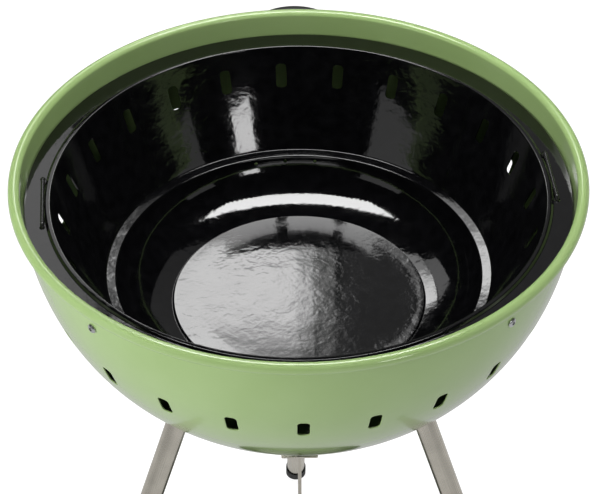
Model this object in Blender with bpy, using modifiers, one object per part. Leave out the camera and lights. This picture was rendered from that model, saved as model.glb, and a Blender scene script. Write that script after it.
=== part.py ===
"""Kettle charcoal grill with a lift-out fire bowl, three tube legs and a rotary bottom damper.

Units are metres and radians, +Z is up and -Y is the front. The feet stand on Z = 0, and the
origin is at floor level under the middle of the grill's outline. A size called DROP is measured
down from the top of the rim, and every piece hangs from an empty where the bowl's axis passes
the rim. Along a leg, positions are measured down from where its axis meets the outer bowl.
"""
import math

import bmesh
import bpy
from mathutils import Matrix

# Overall
RIM_RADIUS = 0.285            # outside of the rolled rim
RIM_HEIGHT = 0.785            # top of the rim above the floor
GAP = 0.0003                  # between pieces that touch
BOWL_STEPS = 48               # facets round a bowl
TUBE_STEPS = 24               # facets round a leg
SCREW_STEPS = 12              # facets round a screw or a small hole

# Outer bowl: a slightly square half ball of pressed sheet with a rolled-out rim
RIM_OVERHANG = 0.010          # how far the rim stands out past the wall under it
BOWL_DEPTH = 0.2766           # rim top to the outside of the floor
BOWL_POWER = 2.1              # 2 is an ellipse, more is squarer
BOWL_SHEET = 0.0015
BOWL_RINGS = 11
ROLL_END = math.radians(-120)
ROLL_RINGS = 7

# Air slots, the same punch in both bowls
SLOT_COUNT = 24
SLOT_WIDTH = 0.0115
SLOT_LENGTH = 0.026
SLOT_CORNER = 0.004
CORNER_POINTS = 3
BOWL_SLOT_DROP = 0.104
FIRE_SLOT_DROP = 0.0534
CUT_DEPTH = 0.006             # half the depth of a cutter through a sheet

# Fire bowl, lifted out by its handles
FIRE_SHEET = 0.0015
FIRE_TURN = math.radians(3.6)           # how far it sits turned in the outer bowl
FLANGE_DROP = 0.0259
FLANGE_CLEARANCE = 0.0022               # to the outer bowl's wall
FLANGE_WIDTH = 0.0188                   # flat part, out from the bead
BEAD_RISE = 0.0021
BEAD_WIDTH = 0.007
MOUTH_INSET = 0.0065                    # bead's crest to the wall just under it
MOUTH_FALL = 0.0071                     # flange to the top of that wall
WALL_BELLY = 0.0022                     # how far the upper wall bows out
WALL_RINGS = 3
LEDGE_SHARE = 0.8137                    # of the mouth's radius
LEDGE_DROP = 0.1259
LEDGE_WIDTH = 0.0105
LEDGE_FALL = 0.0014
LOWER_WALL_LEAN = math.radians(12)      # just under the ledge
FLOOR_SLOPE = math.radians(7)           # just outside the raised disc
HOLLOW_RINGS = 5
FLOOR_DROP = 0.1675
DISC_SHARE = 0.6555                     # raised flat disc of the floor, of the ledge's radius
DISC_RISE = 0.0015
DISC_EDGE = 0.0014
AIR_HOLE_RADIUS = 0.002
AIR_HOLE_GROUPS = 4
AIR_HOLE_PITCH = math.radians(10)
AIR_HOLE_BELOW_LEDGE = 0.0055

# Wire bail handles that drop into the flange
WIRE_RADIUS = 0.002
BAIL_LENGTH = 0.080                     # outside of the wire
BAIL_DEPTH = 0.034
BAIL_FOOT = 0.010
BAIL_BEND = 0.0045
BEND_POINTS = 4
BAIL_OFF_BEAD = 0.0045                  # bead's crest out to the middle of the grip
BAIL_REST = 0.0008                      # between the grip and the flange
BAIL_FIT = 0.0007                       # radial, wire in the flange

# Screws, sleeves and nuts that carry the flange
SUPPORTS = {"front_left": -45, "front_right": 45, "rear_right": 135, "rear_left": 225}
M5_RADIUS = 0.0025
M5_HEAD_RADIUS = 0.0047
M5_HEAD_HEIGHT = 0.0028
M5_NUT_FLATS = 0.008
M5_NUT_HEIGHT = 0.004
SLEEVE_RADIUS = 0.004
SLEEVE_LENGTH = 0.018                   # with the wall's sheet
THREAD_PAST_NUT = 0.0015
SCREW_FIT = 0.0003                      # radial, a screw in its hole

# Legs
LEGS = {"front_left": -60, "front_right": 60, "rear": 180}
LEG_SPLAY = math.radians(21.1)
LEG_SEAT_SHARE = 0.4964                 # of the bowl's radius, where a leg's axis meets it
TUBE_RADIUS = 0.0115
TUBE_WALL = 0.0012
TUBE_FIT = 0.0004                       # radial, tube in socket and cap, plug in tube
SOCKET_WALL = 0.0031
SOCKET_LENGTH = 0.028
SOCKET_WEB = 0.009
PLUG_LENGTH = 0.014
CAP_WALL = 0.0011
CAP_LENGTH = 0.020
CAP_FLOOR = 0.008                       # floor to the tube's end, along the leg
M8_RADIUS = 0.004
M8_HEAD_RADIUS = 0.007
M8_HEAD_HEIGHT = 0.0045
M8_FIT = 0.0005
M8_GRIP = 0.026                         # under the head
SEAT_WASHER_RADIUS = 0.011
SEAT_WASHER_TOP = 0.0065                # above the outside of the bowl

# Rear handle
HANDLE_RADIUS = 0.046                   # centre line of the half ring
HANDLE_STANDOFF = 0.010                 # bowl wall to the half ring's centre
HANDLE_DROP = 0.040
HANDLE_THICKNESS = 0.018
HANDLE_POINTS = 11
M6_RADIUS = 0.003
M6_HEAD_RADIUS = 0.005
M6_HEAD_HEIGHT = 0.003
M6_IN_HANDLE = 0.018
M6_STANDOFF = 0.0065                    # head's seat, in from the outside of the bowl
M6_WASHER_RADIUS = 0.0055
M6_WASHER_HEIGHT = 0.001

# Damper, its stem and the ash dish
VENT_COUNT = 6
VENT_RADIUS = 0.012
VENT_CIRCLE = 0.052
DAMPER_RADIUS = 0.076
DAMPER_SHEET = 0.0012
DAMPER_CLEARANCE = 0.0018               # over the floor's facets as it turns
DAMPER_STEPS = 36
DAMPER_RINGS = 4
STEM_RADIUS = 0.002
STEM_FIT = 0.0004
STEM_PAST_NUT = 0.0015
M4_NUT_FLATS = 0.007
M4_NUT_HEIGHT = 0.0032
STEM_WASHER_RADIUS = 0.006
STEM_WASHER_HEIGHT = 0.001
BAR_DROP = 0.400                        # underside of the finger bar
BAR_LENGTH = 0.0405
BAR_WIDTH = 0.010
BAR_THICKNESS = 0.002
COLLAR_RADIUS = 0.003
COLLAR_HEIGHT = 0.001
DISH_RADIUS = 0.100
DISH_FLAT = 0.074
DISH_DEPTH = 0.022
DISH_DROP = 0.600                       # underside of the ash dish
DISH_SHEET = 0.0012

ENAMEL_GREEN = (0.30, 0.43, 0.17)
ENAMEL_BLACK = (0.006, 0.006, 0.007)
STAINLESS = (0.55, 0.53, 0.50)
ZINC = (0.60, 0.60, 0.60)
RUBBER = (0.012, 0.012, 0.012)
PHENOLIC = (0.015, 0.015, 0.015)
BLACK_WIRE = (0.010, 0.010, 0.010)


# Places worked out from the sizes above

def bowl_drop(radius):
    """How far below the rim the outside of the outer bowl lies at a radius."""
    return BOWL_DEPTH * (1 - (radius / BOWL_RADIUS) ** BOWL_POWER) ** (1 / BOWL_POWER)


def bowl_radius(drop):
    """Radius of the outside of the outer bowl at a depth below the rim."""
    return BOWL_RADIUS * (1 - (drop / BOWL_DEPTH) ** BOWL_POWER) ** (1 / BOWL_POWER)


def bowl_normal(radius, drop):
    """Outward direction of the outer bowl there, as (radial, vertical)."""
    along = radius ** (BOWL_POWER - 1) / BOWL_RADIUS ** BOWL_POWER
    down = drop ** (BOWL_POWER - 1) / BOWL_DEPTH ** BOWL_POWER
    size = math.hypot(along, down)
    return along / size, -down / size


def bowl_curve(offset, first_radius, last_drop, rings):
    """Points of the outer bowl's section moved outward by offset, from the floor up."""
    start = math.asin((bowl_drop(first_radius) / BOWL_DEPTH) ** (BOWL_POWER / 2))
    end = math.asin((last_drop / BOWL_DEPTH) ** (BOWL_POWER / 2))
    points = []
    for ring in range(rings + 1):
        turn = start + (end - start) * ring / rings
        radius = BOWL_RADIUS * math.cos(turn) ** (2 / BOWL_POWER)
        drop = BOWL_DEPTH * math.sin(turn) ** (2 / BOWL_POWER)
        along, up = bowl_normal(radius, drop)
        points.append((radius + offset * along, -drop + offset * up))
    return points


def wall_curve(offset):
    """The outer bowl's wall from its stem hole up to the roll. Every offset has the same rings."""
    return bowl_curve(offset, plain_hole(STEM_RADIUS, STEM_FIT), ROLL_RADIUS * 1.4, BOWL_RINGS)


def plain_hole(radius, fit, steps=SCREW_STEPS):
    """Radius of a faceted hole that clears a round piece all the way round."""
    return (radius + fit) / math.cos(math.pi / steps)


BOWL_RADIUS = RIM_RADIUS - RIM_OVERHANG
WALL_INSIDE = BOWL_RADIUS - BOWL_SHEET
ROLL_RADIUS = (RIM_RADIUS - WALL_INSIDE) / 2
SOCKET_RADIUS = TUBE_RADIUS + TUBE_FIT + SOCKET_WALL
CAP_RADIUS = TUBE_RADIUS + TUBE_FIT + CAP_WALL
LEG_SEAT_RADIUS = BOWL_RADIUS * LEG_SEAT_SHARE
LEG_SEAT_DROP = bowl_drop(LEG_SEAT_RADIUS)
LEG_RUN = (RIM_HEIGHT - LEG_SEAT_DROP) / math.cos(LEG_SPLAY)     # bowl to floor along a leg
FOOT_REACH = LEG_SEAT_RADIUS + LEG_RUN * math.sin(LEG_SPLAY) + CAP_RADIUS / math.cos(LEG_SPLAY)
AXIS_Y = (RIM_RADIUS - max(FOOT_REACH, RIM_RADIUS)) / 2          # rim in front, foot behind
FLANGE_UNDERSIDE = FLANGE_DROP + FIRE_SHEET
FLANGE_RADIUS = bowl_radius(FLANGE_UNDERSIDE) - BOWL_SHEET - FLANGE_CLEARANCE
BEAD_RADIUS = FLANGE_RADIUS - FLANGE_WIDTH - BEAD_WIDTH / 2
MOUTH_RADIUS = BEAD_RADIUS - MOUTH_INSET
MOUTH_DROP = FLANGE_DROP + MOUTH_FALL
LEDGE_RADIUS = MOUTH_RADIUS * LEDGE_SHARE
DISC_RADIUS = LEDGE_RADIUS * DISC_SHARE
SUPPORT_DROP = FLANGE_UNDERSIDE + GAP + SLEEVE_RADIUS
SUPPORT_RADIUS = bowl_radius(SUPPORT_DROP)
BAIL_RADIUS = BEAD_RADIUS + BAIL_OFF_BEAD
BAIL_DROP = FLANGE_DROP - BAIL_REST - WIRE_RADIUS
BAIL_LEG = BAIL_LENGTH / 2 - WIRE_RADIUS                         # middle to the axis of a leg
HANDLE_CENTRE = BOWL_RADIUS + HANDLE_STANDOFF
FLOOR_INSIDE = BOWL_DEPTH - BOWL_SHEET
DAMPER_DROP = FLOOR_INSIDE - DAMPER_CLEARANCE                    # damper's underside, on the axis
STEM_TOP = DAMPER_DROP - DAMPER_SHEET - GAP - M4_NUT_HEIGHT - STEM_PAST_NUT
STEM_END = DISH_DROP + GAP + M4_NUT_HEIGHT + STEM_PAST_NUT


# Scene, collections and materials

for old in list(bpy.data.objects):
    bpy.data.objects.remove(old)
PARTS = bpy.data.collections.new("kettle_grill")
CUTTERS = bpy.data.collections.new("cutters")
bpy.context.scene.collection.children.link(PARTS)
bpy.context.scene.collection.children.link(CUTTERS)


def material(name, colour, roughness, metallic):
    made = bpy.data.materials.new(name)
    made.use_nodes = True
    shader = made.node_tree.nodes["Principled BSDF"]
    shader.inputs["Base Color"].default_value = (*colour, 1)
    shader.inputs["Roughness"].default_value = roughness
    shader.inputs["Metallic"].default_value = metallic
    return made


def empty(name, location, turn=0.0, parent=None):
    made = bpy.data.objects.new(name, None)
    made.location = location
    made.rotation_euler = (0, 0, turn)
    made.parent = parent
    PARTS.objects.link(made)
    return made


BOWL_AXIS = empty("bowl_axis", (0, AXIS_Y, RIM_HEIGHT))
FIRE_AXIS = empty("fire_bowl_axis", (0, 0, 0), FIRE_TURN, BOWL_AXIS)


# Modelling helpers

def add(name, mesh, collection, parent=BOWL_AXIS, location=(0, 0, 0), rotation=(0, 0, 0)):
    made = bpy.data.objects.new(name, mesh)
    made.parent = parent
    made.location = location
    made.rotation_euler = rotation
    collection.objects.link(made)
    if collection is CUTTERS:
        made.hide_render = True
        made.display_type = "WIRE"
    return made


def finish(piece, name, colour, roughness=0.4, metallic=0.0):
    """The piece's own material, which copies share, and smooth shading over its rounds."""
    if not piece.data.materials:
        piece.data.materials.append(material(name, colour, roughness, metallic))
        piece.data.shade_smooth()


def turned(name, points, steps, closed, collection=PARTS, **place):
    """A section of (radius, height) points turned round Z. It runs down its outer side."""
    mesh = bpy.data.meshes.new(name)
    edges = [(i, i + 1) for i in range(len(points) - 1)]
    if closed:
        edges.append((len(points) - 1, 0))
    mesh.from_pydata([(radius, 0, height) for radius, height in points], edges, [])
    made = add(name, mesh, collection, **place)
    screw = made.modifiers.new("turn", "SCREW")
    screw.steps = steps
    screw.render_steps = steps
    screw.use_merge_vertices = True
    screw.merge_threshold = 0.00002
    screw.use_smooth_shade = True
    return made


def thicken(piece, sheet):
    """Gives an open surface its sheet, on the side that its faces turn away from."""
    solid = piece.modifiers.new("sheet", "SOLIDIFY")
    solid.thickness = sheet
    solid.offset = -1
    solid.use_even_offset = True


def cut(piece, cutter, operation="DIFFERENCE"):
    boolean = piece.modifiers.new(cutter.name, "BOOLEAN")
    boolean.operation = operation
    boolean.solver = "EXACT"
    boolean.object = cutter


def evaluated_mesh(source):
    """The source's finished mesh with loose caps welded, in the source's own space."""
    bpy.context.view_layer.update()
    graph = bpy.context.evaluated_depsgraph_get()
    mesh = bpy.data.meshes.new_from_object(source.evaluated_get(graph))
    shape = bmesh.new()
    shape.from_mesh(mesh)
    bmesh.ops.remove_doubles(shape, verts=shape.verts, dist=0.00002)
    bmesh.ops.recalc_face_normals(shape, faces=shape.faces)
    shape.to_mesh(mesh)
    shape.free()
    return mesh


def as_mesh(source, collection=PARTS, **place):
    """Replaces a curve, or a stack of modifiers, by an object with its finished mesh."""
    mesh = evaluated_mesh(source)
    name = source.name
    bpy.data.objects.remove(source)
    mesh.name = name
    return add(name, mesh, collection, **place)


def cutter_group(source, places, parent=BOWL_AXIS):
    """One cutter that holds the source's shape at each place."""
    single = evaluated_mesh(source)
    name = source.name
    bpy.data.objects.remove(source)
    shape = bmesh.new()
    for place in places:
        copy = single.copy()
        copy.transform(place)
        shape.from_mesh(copy)
        bpy.data.meshes.remove(copy)
    mesh = bpy.data.meshes.new(name)
    shape.to_mesh(mesh)
    shape.free()
    return add(name, mesh, CUTTERS, parent)


def copies(source, places):
    """An object for each named place, all of them sharing the source's finished mesh."""
    mesh = evaluated_mesh(source)
    mesh.name = source.name
    bpy.data.objects.remove(source)
    made = []
    for name, place in places.items():
        made.append(add(name, mesh, PARTS, location=place.to_translation(), rotation=place.to_euler()))
    return made


def pierced(radius, inner, top, bottom):
    """Section of a plain ring between two heights."""
    return [(inner, top), (radius, top), (radius, bottom), (inner, bottom)]


def solid_of(radius, top, bottom):
    """Section of a plain cylinder."""
    return [(0, top), (radius, top), (radius, bottom), (0, bottom)]


def screw_section(head_radius, head_height, radius, length):
    """Section of a pan head screw whose head sits on Z = 0."""
    return [(0, head_height), (head_radius * 0.6, head_height * 0.92), (head_radius, head_height * 0.4),
            (head_radius, 0), (radius, 0), (radius, -length), (0, -length)]


def nut_section(flats, height, radius, steps):
    """Section of a hexagon nut turned in six steps, with a clear hexagon hole."""
    corner = flats / 2 / math.cos(math.pi / steps)
    hole = (radius + SCREW_FIT) / math.cos(math.pi / steps)
    return pierced(corner, hole, height, 0)


def rounded_slot(name, width, length, corner, depth):
    """A filled outline with round corners, standing on X by Y and extruded along Z."""
    curve = bpy.data.curves.new(name, "CURVE")
    curve.dimensions = "2D"
    curve.fill_mode = "BOTH"
    curve.extrude = depth
    points = []
    for quarter, (side, end) in enumerate(((1, 1), (-1, 1), (-1, -1), (1, -1))):
        for step in range(CORNER_POINTS):
            turn = math.pi / 2 * (quarter + step / (CORNER_POINTS - 1))
            x = side * (width / 2 - corner) + corner * math.cos(turn)
            y = end * (length / 2 - corner) + corner * math.sin(turn)
            points.append((x, y))
    spline = curve.splines.new("POLY")
    spline.points.add(len(points) - 1)
    for point, (x, y) in zip(spline.points, points):
        point.co = (x, y, 0, 1)
    spline.use_cyclic_u = True
    made = bpy.data.objects.new(name, curve)
    CUTTERS.objects.link(made)
    return made


def wire(name, points, radius, resolution=2):
    """A round bar through the points, with closed ends."""
    curve = bpy.data.curves.new(name, "CURVE")
    curve.dimensions = "3D"
    curve.bevel_depth = radius
    curve.bevel_resolution = resolution
    curve.use_fill_caps = True
    spline = curve.splines.new("POLY")
    spline.points.add(len(points) - 1)
    for point, place in zip(spline.points, points):
        point.co = (*place, 1)
    made = bpy.data.objects.new(name, curve)
    PARTS.objects.link(made)
    return made


def ring_places(count, radius, height, lean, phase=0.0):
    """Places round the axis, with local Z outward and tipped down by lean, and Y up the wall."""
    places = []
    for index in range(count):
        turn = Matrix.Rotation(phase + math.tau * index / count, 4, "Z")
        stand = Matrix.Rotation(math.pi / 2 + lean, 4, "Y") @ Matrix.Rotation(math.pi / 2, 4, "Z")
        places.append(turn @ Matrix.Translation((radius, 0, height)) @ stand)
    return places


def heading(front_angle):
    """Turn about Z from +X to a direction given in degrees from the front, towards +X."""
    return math.radians(front_angle - 90)


# Outer bowl

def bowl_section():
    """The inside of the wall from the floor's hole up, then over the rolled rim."""
    points = wall_curve(-BOWL_SHEET)
    for ring in range(ROLL_RINGS + 1):
        turn = math.pi + (ROLL_END - math.pi) * ring / ROLL_RINGS
        x = WALL_INSIDE + ROLL_RADIUS + ROLL_RADIUS * math.cos(turn)
        points.append((x, -ROLL_RADIUS + ROLL_RADIUS * math.sin(turn)))
    return points


def bowl_solid(name, offset):
    """A filled bowl that follows the outer bowl's outside at an offset, for cutting saddles."""
    wall = wall_curve(offset)
    section = [(0, wall[-1][1])] + wall[::-1] + [(0, -BOWL_DEPTH - offset)]
    return turned(name, section, BOWL_STEPS, False, CUTTERS)


def slot_cutters(name, radius, drop, lean, phase, parent=BOWL_AXIS):
    slot = rounded_slot(name, SLOT_WIDTH, SLOT_LENGTH, SLOT_CORNER, CUT_DEPTH)
    return cutter_group(slot, ring_places(SLOT_COUNT, radius, -drop, lean, phase), parent)


def support_places(distance):
    """At each support, local Z points out of the bowl from this distance to the axis."""
    places = {}
    for name, angle in SUPPORTS.items():
        turn = Matrix.Rotation(heading(angle), 4, "Z")
        shift = Matrix.Translation((distance, 0, -SUPPORT_DROP))
        places[name] = turn @ shift @ Matrix.Rotation(math.pi / 2, 4, "Y")
    return places


def leg_places(along):
    """On each leg's axis, with local Z up the leg and local X away from the bowl's axis."""
    places = {}
    seat = Matrix.Translation((LEG_SEAT_RADIUS, 0, -LEG_SEAT_DROP)) @ Matrix.Rotation(-LEG_SPLAY, 4, "Y")
    for name, angle in LEGS.items():
        places[name] = Matrix.Rotation(heading(angle), 4, "Z") @ seat @ Matrix.Translation((0, 0, -along))
    return places


def handle_places(along):
    """At each leg of the rear handle, local Z points into the bowl from the screw head's seat."""
    seat = math.sqrt(bowl_radius(HANDLE_DROP) ** 2 - HANDLE_RADIUS ** 2) - M6_STANDOFF - along
    turn = Matrix.Rotation(math.pi / 2, 4, "X")
    return {"left": Matrix.Translation((-HANDLE_RADIUS, seat, -HANDLE_DROP)) @ turn,
            "right": Matrix.Translation((HANDLE_RADIUS, seat, -HANDLE_DROP)) @ turn}


def named(kind, places):
    """Places under full node names, such as leg_bolt_rear."""
    return {kind + "_" + name: place for name, place in places.items()}


def make_outer_bowl():
    bowl = turned("outer_bowl", bowl_section(), BOWL_STEPS, False)
    thicken(bowl, BOWL_SHEET)
    radius = bowl_radius(BOWL_SLOT_DROP)
    along, up = bowl_normal(radius, BOWL_SLOT_DROP)
    lean = math.atan2(-up, along)
    cut(bowl, slot_cutters("bowl_slots", radius, BOWL_SLOT_DROP, lean, heading(0)))
    hole = turned("support_holes", solid_of(plain_hole(M5_RADIUS, SCREW_FIT), CUT_DEPTH, -CUT_DEPTH),
                  SCREW_STEPS, False, CUTTERS)
    cut(bowl, cutter_group(hole, support_places(SUPPORT_RADIUS).values()))
    hole = turned("leg_holes", solid_of(plain_hole(M8_RADIUS, M8_FIT), CUT_DEPTH, -CUT_DEPTH),
                  SCREW_STEPS, False, CUTTERS)
    cut(bowl, cutter_group(hole, leg_places(0.0).values()))
    hole = turned("handle_holes", solid_of(plain_hole(M6_RADIUS, SCREW_FIT), CUT_DEPTH, -CUT_DEPTH),
                  SCREW_STEPS, False, CUTTERS)
    cut(bowl, cutter_group(hole, handle_places(-M6_STANDOFF).values()))
    cut(bowl, vent_cutters("bowl_vents"))
    finish(bowl, "green_enamel", ENAMEL_GREEN, 0.12)


def vent_cutters(name):
    """Upright cylinders through the floor and the damper."""
    middle = bowl_drop(VENT_CIRCLE)
    section = solid_of(VENT_RADIUS, 2 * CUT_DEPTH, -2 * CUT_DEPTH)
    vent = turned(name, section, 2 * SCREW_STEPS, False, CUTTERS)
    places = []
    for index in range(VENT_COUNT):
        turn = Matrix.Rotation(math.tau * index / VENT_COUNT, 4, "Z")
        places.append(turn @ Matrix.Translation((VENT_CIRCLE, 0, -middle)))
    return cutter_group(vent, places)


# Fire bowl

def upper_wall_point(share):
    """On the upper wall, from the ledge (0) to the mouth (1), bowed outward in between."""
    radius = LEDGE_RADIUS + (MOUTH_RADIUS - LEDGE_RADIUS) * share
    drop = LEDGE_DROP + (MOUTH_DROP - LEDGE_DROP) * share
    belly = WALL_BELLY * 4 * share * (1 - share)
    return radius + belly, -drop


def hollow_points(radius, height):
    """One sweep from the edge of the disc, at this place, up to the inner edge of the ledge."""
    top_radius = LEDGE_RADIUS - LEDGE_WIDTH
    top_height = -LEDGE_DROP - LEDGE_FALL
    slope = math.tan(FLOOR_SLOPE)
    lean = math.tan(LOWER_WALL_LEAN)
    corner = (top_radius + (height - radius * slope - top_height) * lean) / (1 - slope * lean)
    corner_height = height + (corner - radius) * slope
    points = []
    for ring in range(HOLLOW_RINGS + 1):
        share = ring / HOLLOW_RINGS
        low, middle, high = (1 - share) ** 2, 2 * share * (1 - share), share ** 2
        points.append((low * radius + middle * corner + high * top_radius,
                       low * height + middle * corner_height + high * top_height))
    return points


def fire_section():
    """The upper side of the sheet, from the middle of the floor out to the flange's edge."""
    floor = -FLOOR_DROP
    points = [(0, floor + DISC_RISE), (DISC_RADIUS, floor + DISC_RISE)]
    points += hollow_points(DISC_RADIUS + DISC_EDGE, floor)
    for ring in range(WALL_RINGS + 1):
        points.append(upper_wall_point(ring / WALL_RINGS))
    crest = -FLANGE_DROP + BEAD_RISE
    points.append((BEAD_RADIUS - BEAD_WIDTH / 2, crest - BEAD_RISE / 2))
    points.append((BEAD_RADIUS, crest))
    points.append((BEAD_RADIUS + BEAD_WIDTH / 2, -FLANGE_DROP))
    points.append((FLANGE_RADIUS, -FLANGE_DROP))
    return points


def fire_wall_at(drop):
    """Radius of the upper wall at a depth, and how far its outward direction tips down."""
    share = (LEDGE_DROP - drop) / (LEDGE_DROP - MOUTH_DROP)
    low = upper_wall_point(share - 0.02)
    high = upper_wall_point(share + 0.02)
    lean = math.atan2(high[0] - low[0], high[1] - low[1])
    return upper_wall_point(share)[0], lean


def bail_places():
    """At the middle of each grip, with local X outward."""
    return {"bail_handle_right": 0.0, "bail_handle_left": math.pi}


def make_fire_bowl():
    bowl = turned("fire_bowl", fire_section(), BOWL_STEPS, False, parent=FIRE_AXIS)
    thicken(bowl, FIRE_SHEET)
    radius, lean = fire_wall_at(FIRE_SLOT_DROP)
    cut(bowl, slot_cutters("fire_slots", radius, FIRE_SLOT_DROP, lean, 0.0, FIRE_AXIS))
    hole = turned("air_holes", solid_of(AIR_HOLE_RADIUS, CUT_DEPTH, -CUT_DEPTH), SCREW_STEPS, False,
                  CUTTERS)
    below = AIR_HOLE_BELOW_LEDGE
    hole_radius = LEDGE_RADIUS - LEDGE_WIDTH - below * math.tan(LOWER_WALL_LEAN)
    places = []
    for step in (-1, 0, 1):
        places += ring_places(AIR_HOLE_GROUPS, hole_radius, -LEDGE_DROP - LEDGE_FALL - below,
                              LOWER_WALL_LEAN, step * AIR_HOLE_PITCH)
    cut(bowl, cutter_group(hole, places, FIRE_AXIS))
    hole = turned("bail_holes", solid_of(plain_hole(WIRE_RADIUS, BAIL_FIT), CUT_DEPTH, -CUT_DEPTH),
                  SCREW_STEPS, False, CUTTERS)
    places = []
    for turn in bail_places().values():
        for side in (-BAIL_LEG, BAIL_LEG):
            shift = Matrix.Translation((BAIL_RADIUS, side, -FLANGE_DROP))
            places.append(Matrix.Rotation(turn, 4, "Z") @ shift)
    cut(bowl, cutter_group(hole, places, FIRE_AXIS))
    finish(bowl, "black_enamel", ENAMEL_BLACK, 0.08)


def bend(corner, start, end):
    """Points round a bend in the Y-Z plane, turning from one direction to the other."""
    points = []
    for step in range(BEND_POINTS):
        turn = start + (end - start) * step / (BEND_POINTS - 1)
        points.append((0, corner[0] + BAIL_BEND * math.cos(turn), corner[1] + BAIL_BEND * math.sin(turn)))
    return points


def make_bail_handles():
    """Each is one wire: foot, leg, grip, leg, foot. The feet turn in under the flange."""
    quarter = math.pi / 2
    inside = BAIL_LEG - BAIL_BEND
    low = -BAIL_DEPTH + BAIL_BEND
    half = [(0, inside - BAIL_FOOT, -BAIL_DEPTH)] + bend((inside, low), -quarter, 0)
    half += bend((inside, -BAIL_BEND), 0, quarter)
    route = half + [(x, -y, z) for x, y, z in half[::-1]]
    for name, turn in bail_places().items():
        place = (BAIL_RADIUS * math.cos(turn), BAIL_RADIUS * math.sin(turn), -BAIL_DROP)
        bail = wire(name, route, WIRE_RADIUS)
        bail = as_mesh(bail, parent=FIRE_AXIS, location=place, rotation=(0, 0, turn))
        finish(bail, name, BLACK_WIRE, 0.3)


# Supports of the fire bowl

def make_supports():
    """Four screws through the wall, each with a sleeve for the flange to lie on and a nut."""
    inside = bowl_solid("sleeve_saddle", -BOWL_SHEET - GAP)
    section = pierced(SLEEVE_RADIUS, plain_hole(M5_RADIUS, SCREW_FIT), 0, -SLEEVE_LENGTH)
    sleeve = turned("support_sleeve", section, SCREW_STEPS, True)
    for made in copies(sleeve, named("support_sleeve", support_places(SUPPORT_RADIUS))):
        cut(made, inside, "INTERSECT")
        finish(made, "support_sleeve", ZINC, 0.35, 1.0)
    seat = SUPPORT_RADIUS + GAP
    nut_seat = SUPPORT_RADIUS - SLEEVE_LENGTH - GAP - M5_NUT_HEIGHT
    length = seat - nut_seat + THREAD_PAST_NUT
    screw = turned("support_screw", screw_section(M5_HEAD_RADIUS, M5_HEAD_HEIGHT, M5_RADIUS, length),
                   SCREW_STEPS, False)
    for made in copies(screw, named("support_screw", support_places(seat))):
        finish(made, "support_screw", ZINC, 0.3, 1.0)
    nut = turned("support_nut", nut_section(M5_NUT_FLATS, M5_NUT_HEIGHT, M5_RADIUS, 6), 6, True)
    flat_up = Matrix.Rotation(math.pi / 6, 4, "Z")
    places = {name: place @ flat_up for name, place in support_places(nut_seat).items()}
    for made in copies(nut, named("support_nut", places)):
        finish(made, "support_nut", ZINC, 0.35, 1.0)


# Legs

def leg_pieces(kind, points, closed):
    """A piece turned round each leg's axis, with heights measured up the leg from the bowl."""
    return copies(turned(kind, points, TUBE_STEPS, closed), named(kind, leg_places(0.0)))


def floor_cutter():
    """A block that takes away what would lie under the floor."""
    mesh = bpy.data.meshes.new("under_floor")
    box = bmesh.new()
    bmesh.ops.create_cube(box, size=1.0)
    span = 4 * FOOT_REACH
    bmesh.ops.transform(box, matrix=Matrix.Diagonal((span, span, CAP_LENGTH * 4, 1)), verts=box.verts)
    box.to_mesh(mesh)
    box.free()
    return add("under_floor", mesh, CUTTERS, location=(0, 0, -RIM_HEIGHT - CAP_LENGTH * 2))


def make_legs():
    """Tube, socket, plug, bolt, seat washer and foot cap of each leg."""
    bolt_hole = plain_hole(M8_RADIUS, M8_FIT, TUBE_STEPS)
    bore = TUBE_RADIUS + TUBE_FIT
    tube_top = -SOCKET_WEB - GAP
    tube_end = CAP_FLOOR - LEG_RUN
    cap_top = CAP_LENGTH - LEG_RUN
    section = pierced(TUBE_RADIUS, TUBE_RADIUS - TUBE_WALL, tube_top, tube_end)
    for tube in leg_pieces("leg_tube", section, True):
        finish(tube, "leg_tube", STAINLESS, 0.3, 1.0)
    section = [(bolt_hole, SOCKET_RADIUS), (SOCKET_RADIUS, SOCKET_RADIUS), (SOCKET_RADIUS, -SOCKET_LENGTH),
               (bore, -SOCKET_LENGTH), (bore, -SOCKET_WEB), (bolt_hole, -SOCKET_WEB)]
    saddle = bowl_solid("leg_saddle", GAP)
    for socket in leg_pieces("leg_socket", section, True):
        cut(socket, saddle)
        finish(socket, "leg_socket", ENAMEL_BLACK, 0.4)
    section = pierced(TUBE_RADIUS - TUBE_WALL - TUBE_FIT, bolt_hole, tube_top, tube_top - PLUG_LENGTH)
    for plug in leg_pieces("leg_plug", section, True):
        finish(plug, "leg_plug", ZINC, 0.4, 1.0)
    section = [(0, tube_end - GAP), (bore, tube_end - GAP), (bore, cap_top), (CAP_RADIUS, cap_top),
               (CAP_RADIUS, -LEG_RUN - CAP_LENGTH), (0, -LEG_RUN - CAP_LENGTH)]
    floor = floor_cutter()
    for cap in leg_pieces("foot_cap", section, False):
        cut(cap, floor)
        finish(cap, "foot_cap", RUBBER, 0.7)
    inside = bowl_solid("washer_seat", -BOWL_SHEET - GAP)
    section = pierced(SEAT_WASHER_RADIUS, bolt_hole, SEAT_WASHER_TOP, -SEAT_WASHER_TOP)
    for washer in leg_pieces("leg_washer", section, True):
        cut(washer, inside, "INTERSECT")
        finish(washer, "leg_washer", ZINC, 0.35, 1.0)
    head = SEAT_WASHER_TOP + GAP
    section = screw_section(M8_HEAD_RADIUS, M8_HEAD_HEIGHT, M8_RADIUS, M8_GRIP)
    bolt = turned("leg_bolt", section, TUBE_STEPS, False)
    for made in copies(bolt, named("leg_bolt", leg_places(-head))):
        finish(made, "leg_bolt", ZINC, 0.3, 1.0)


# Rear handle

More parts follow.
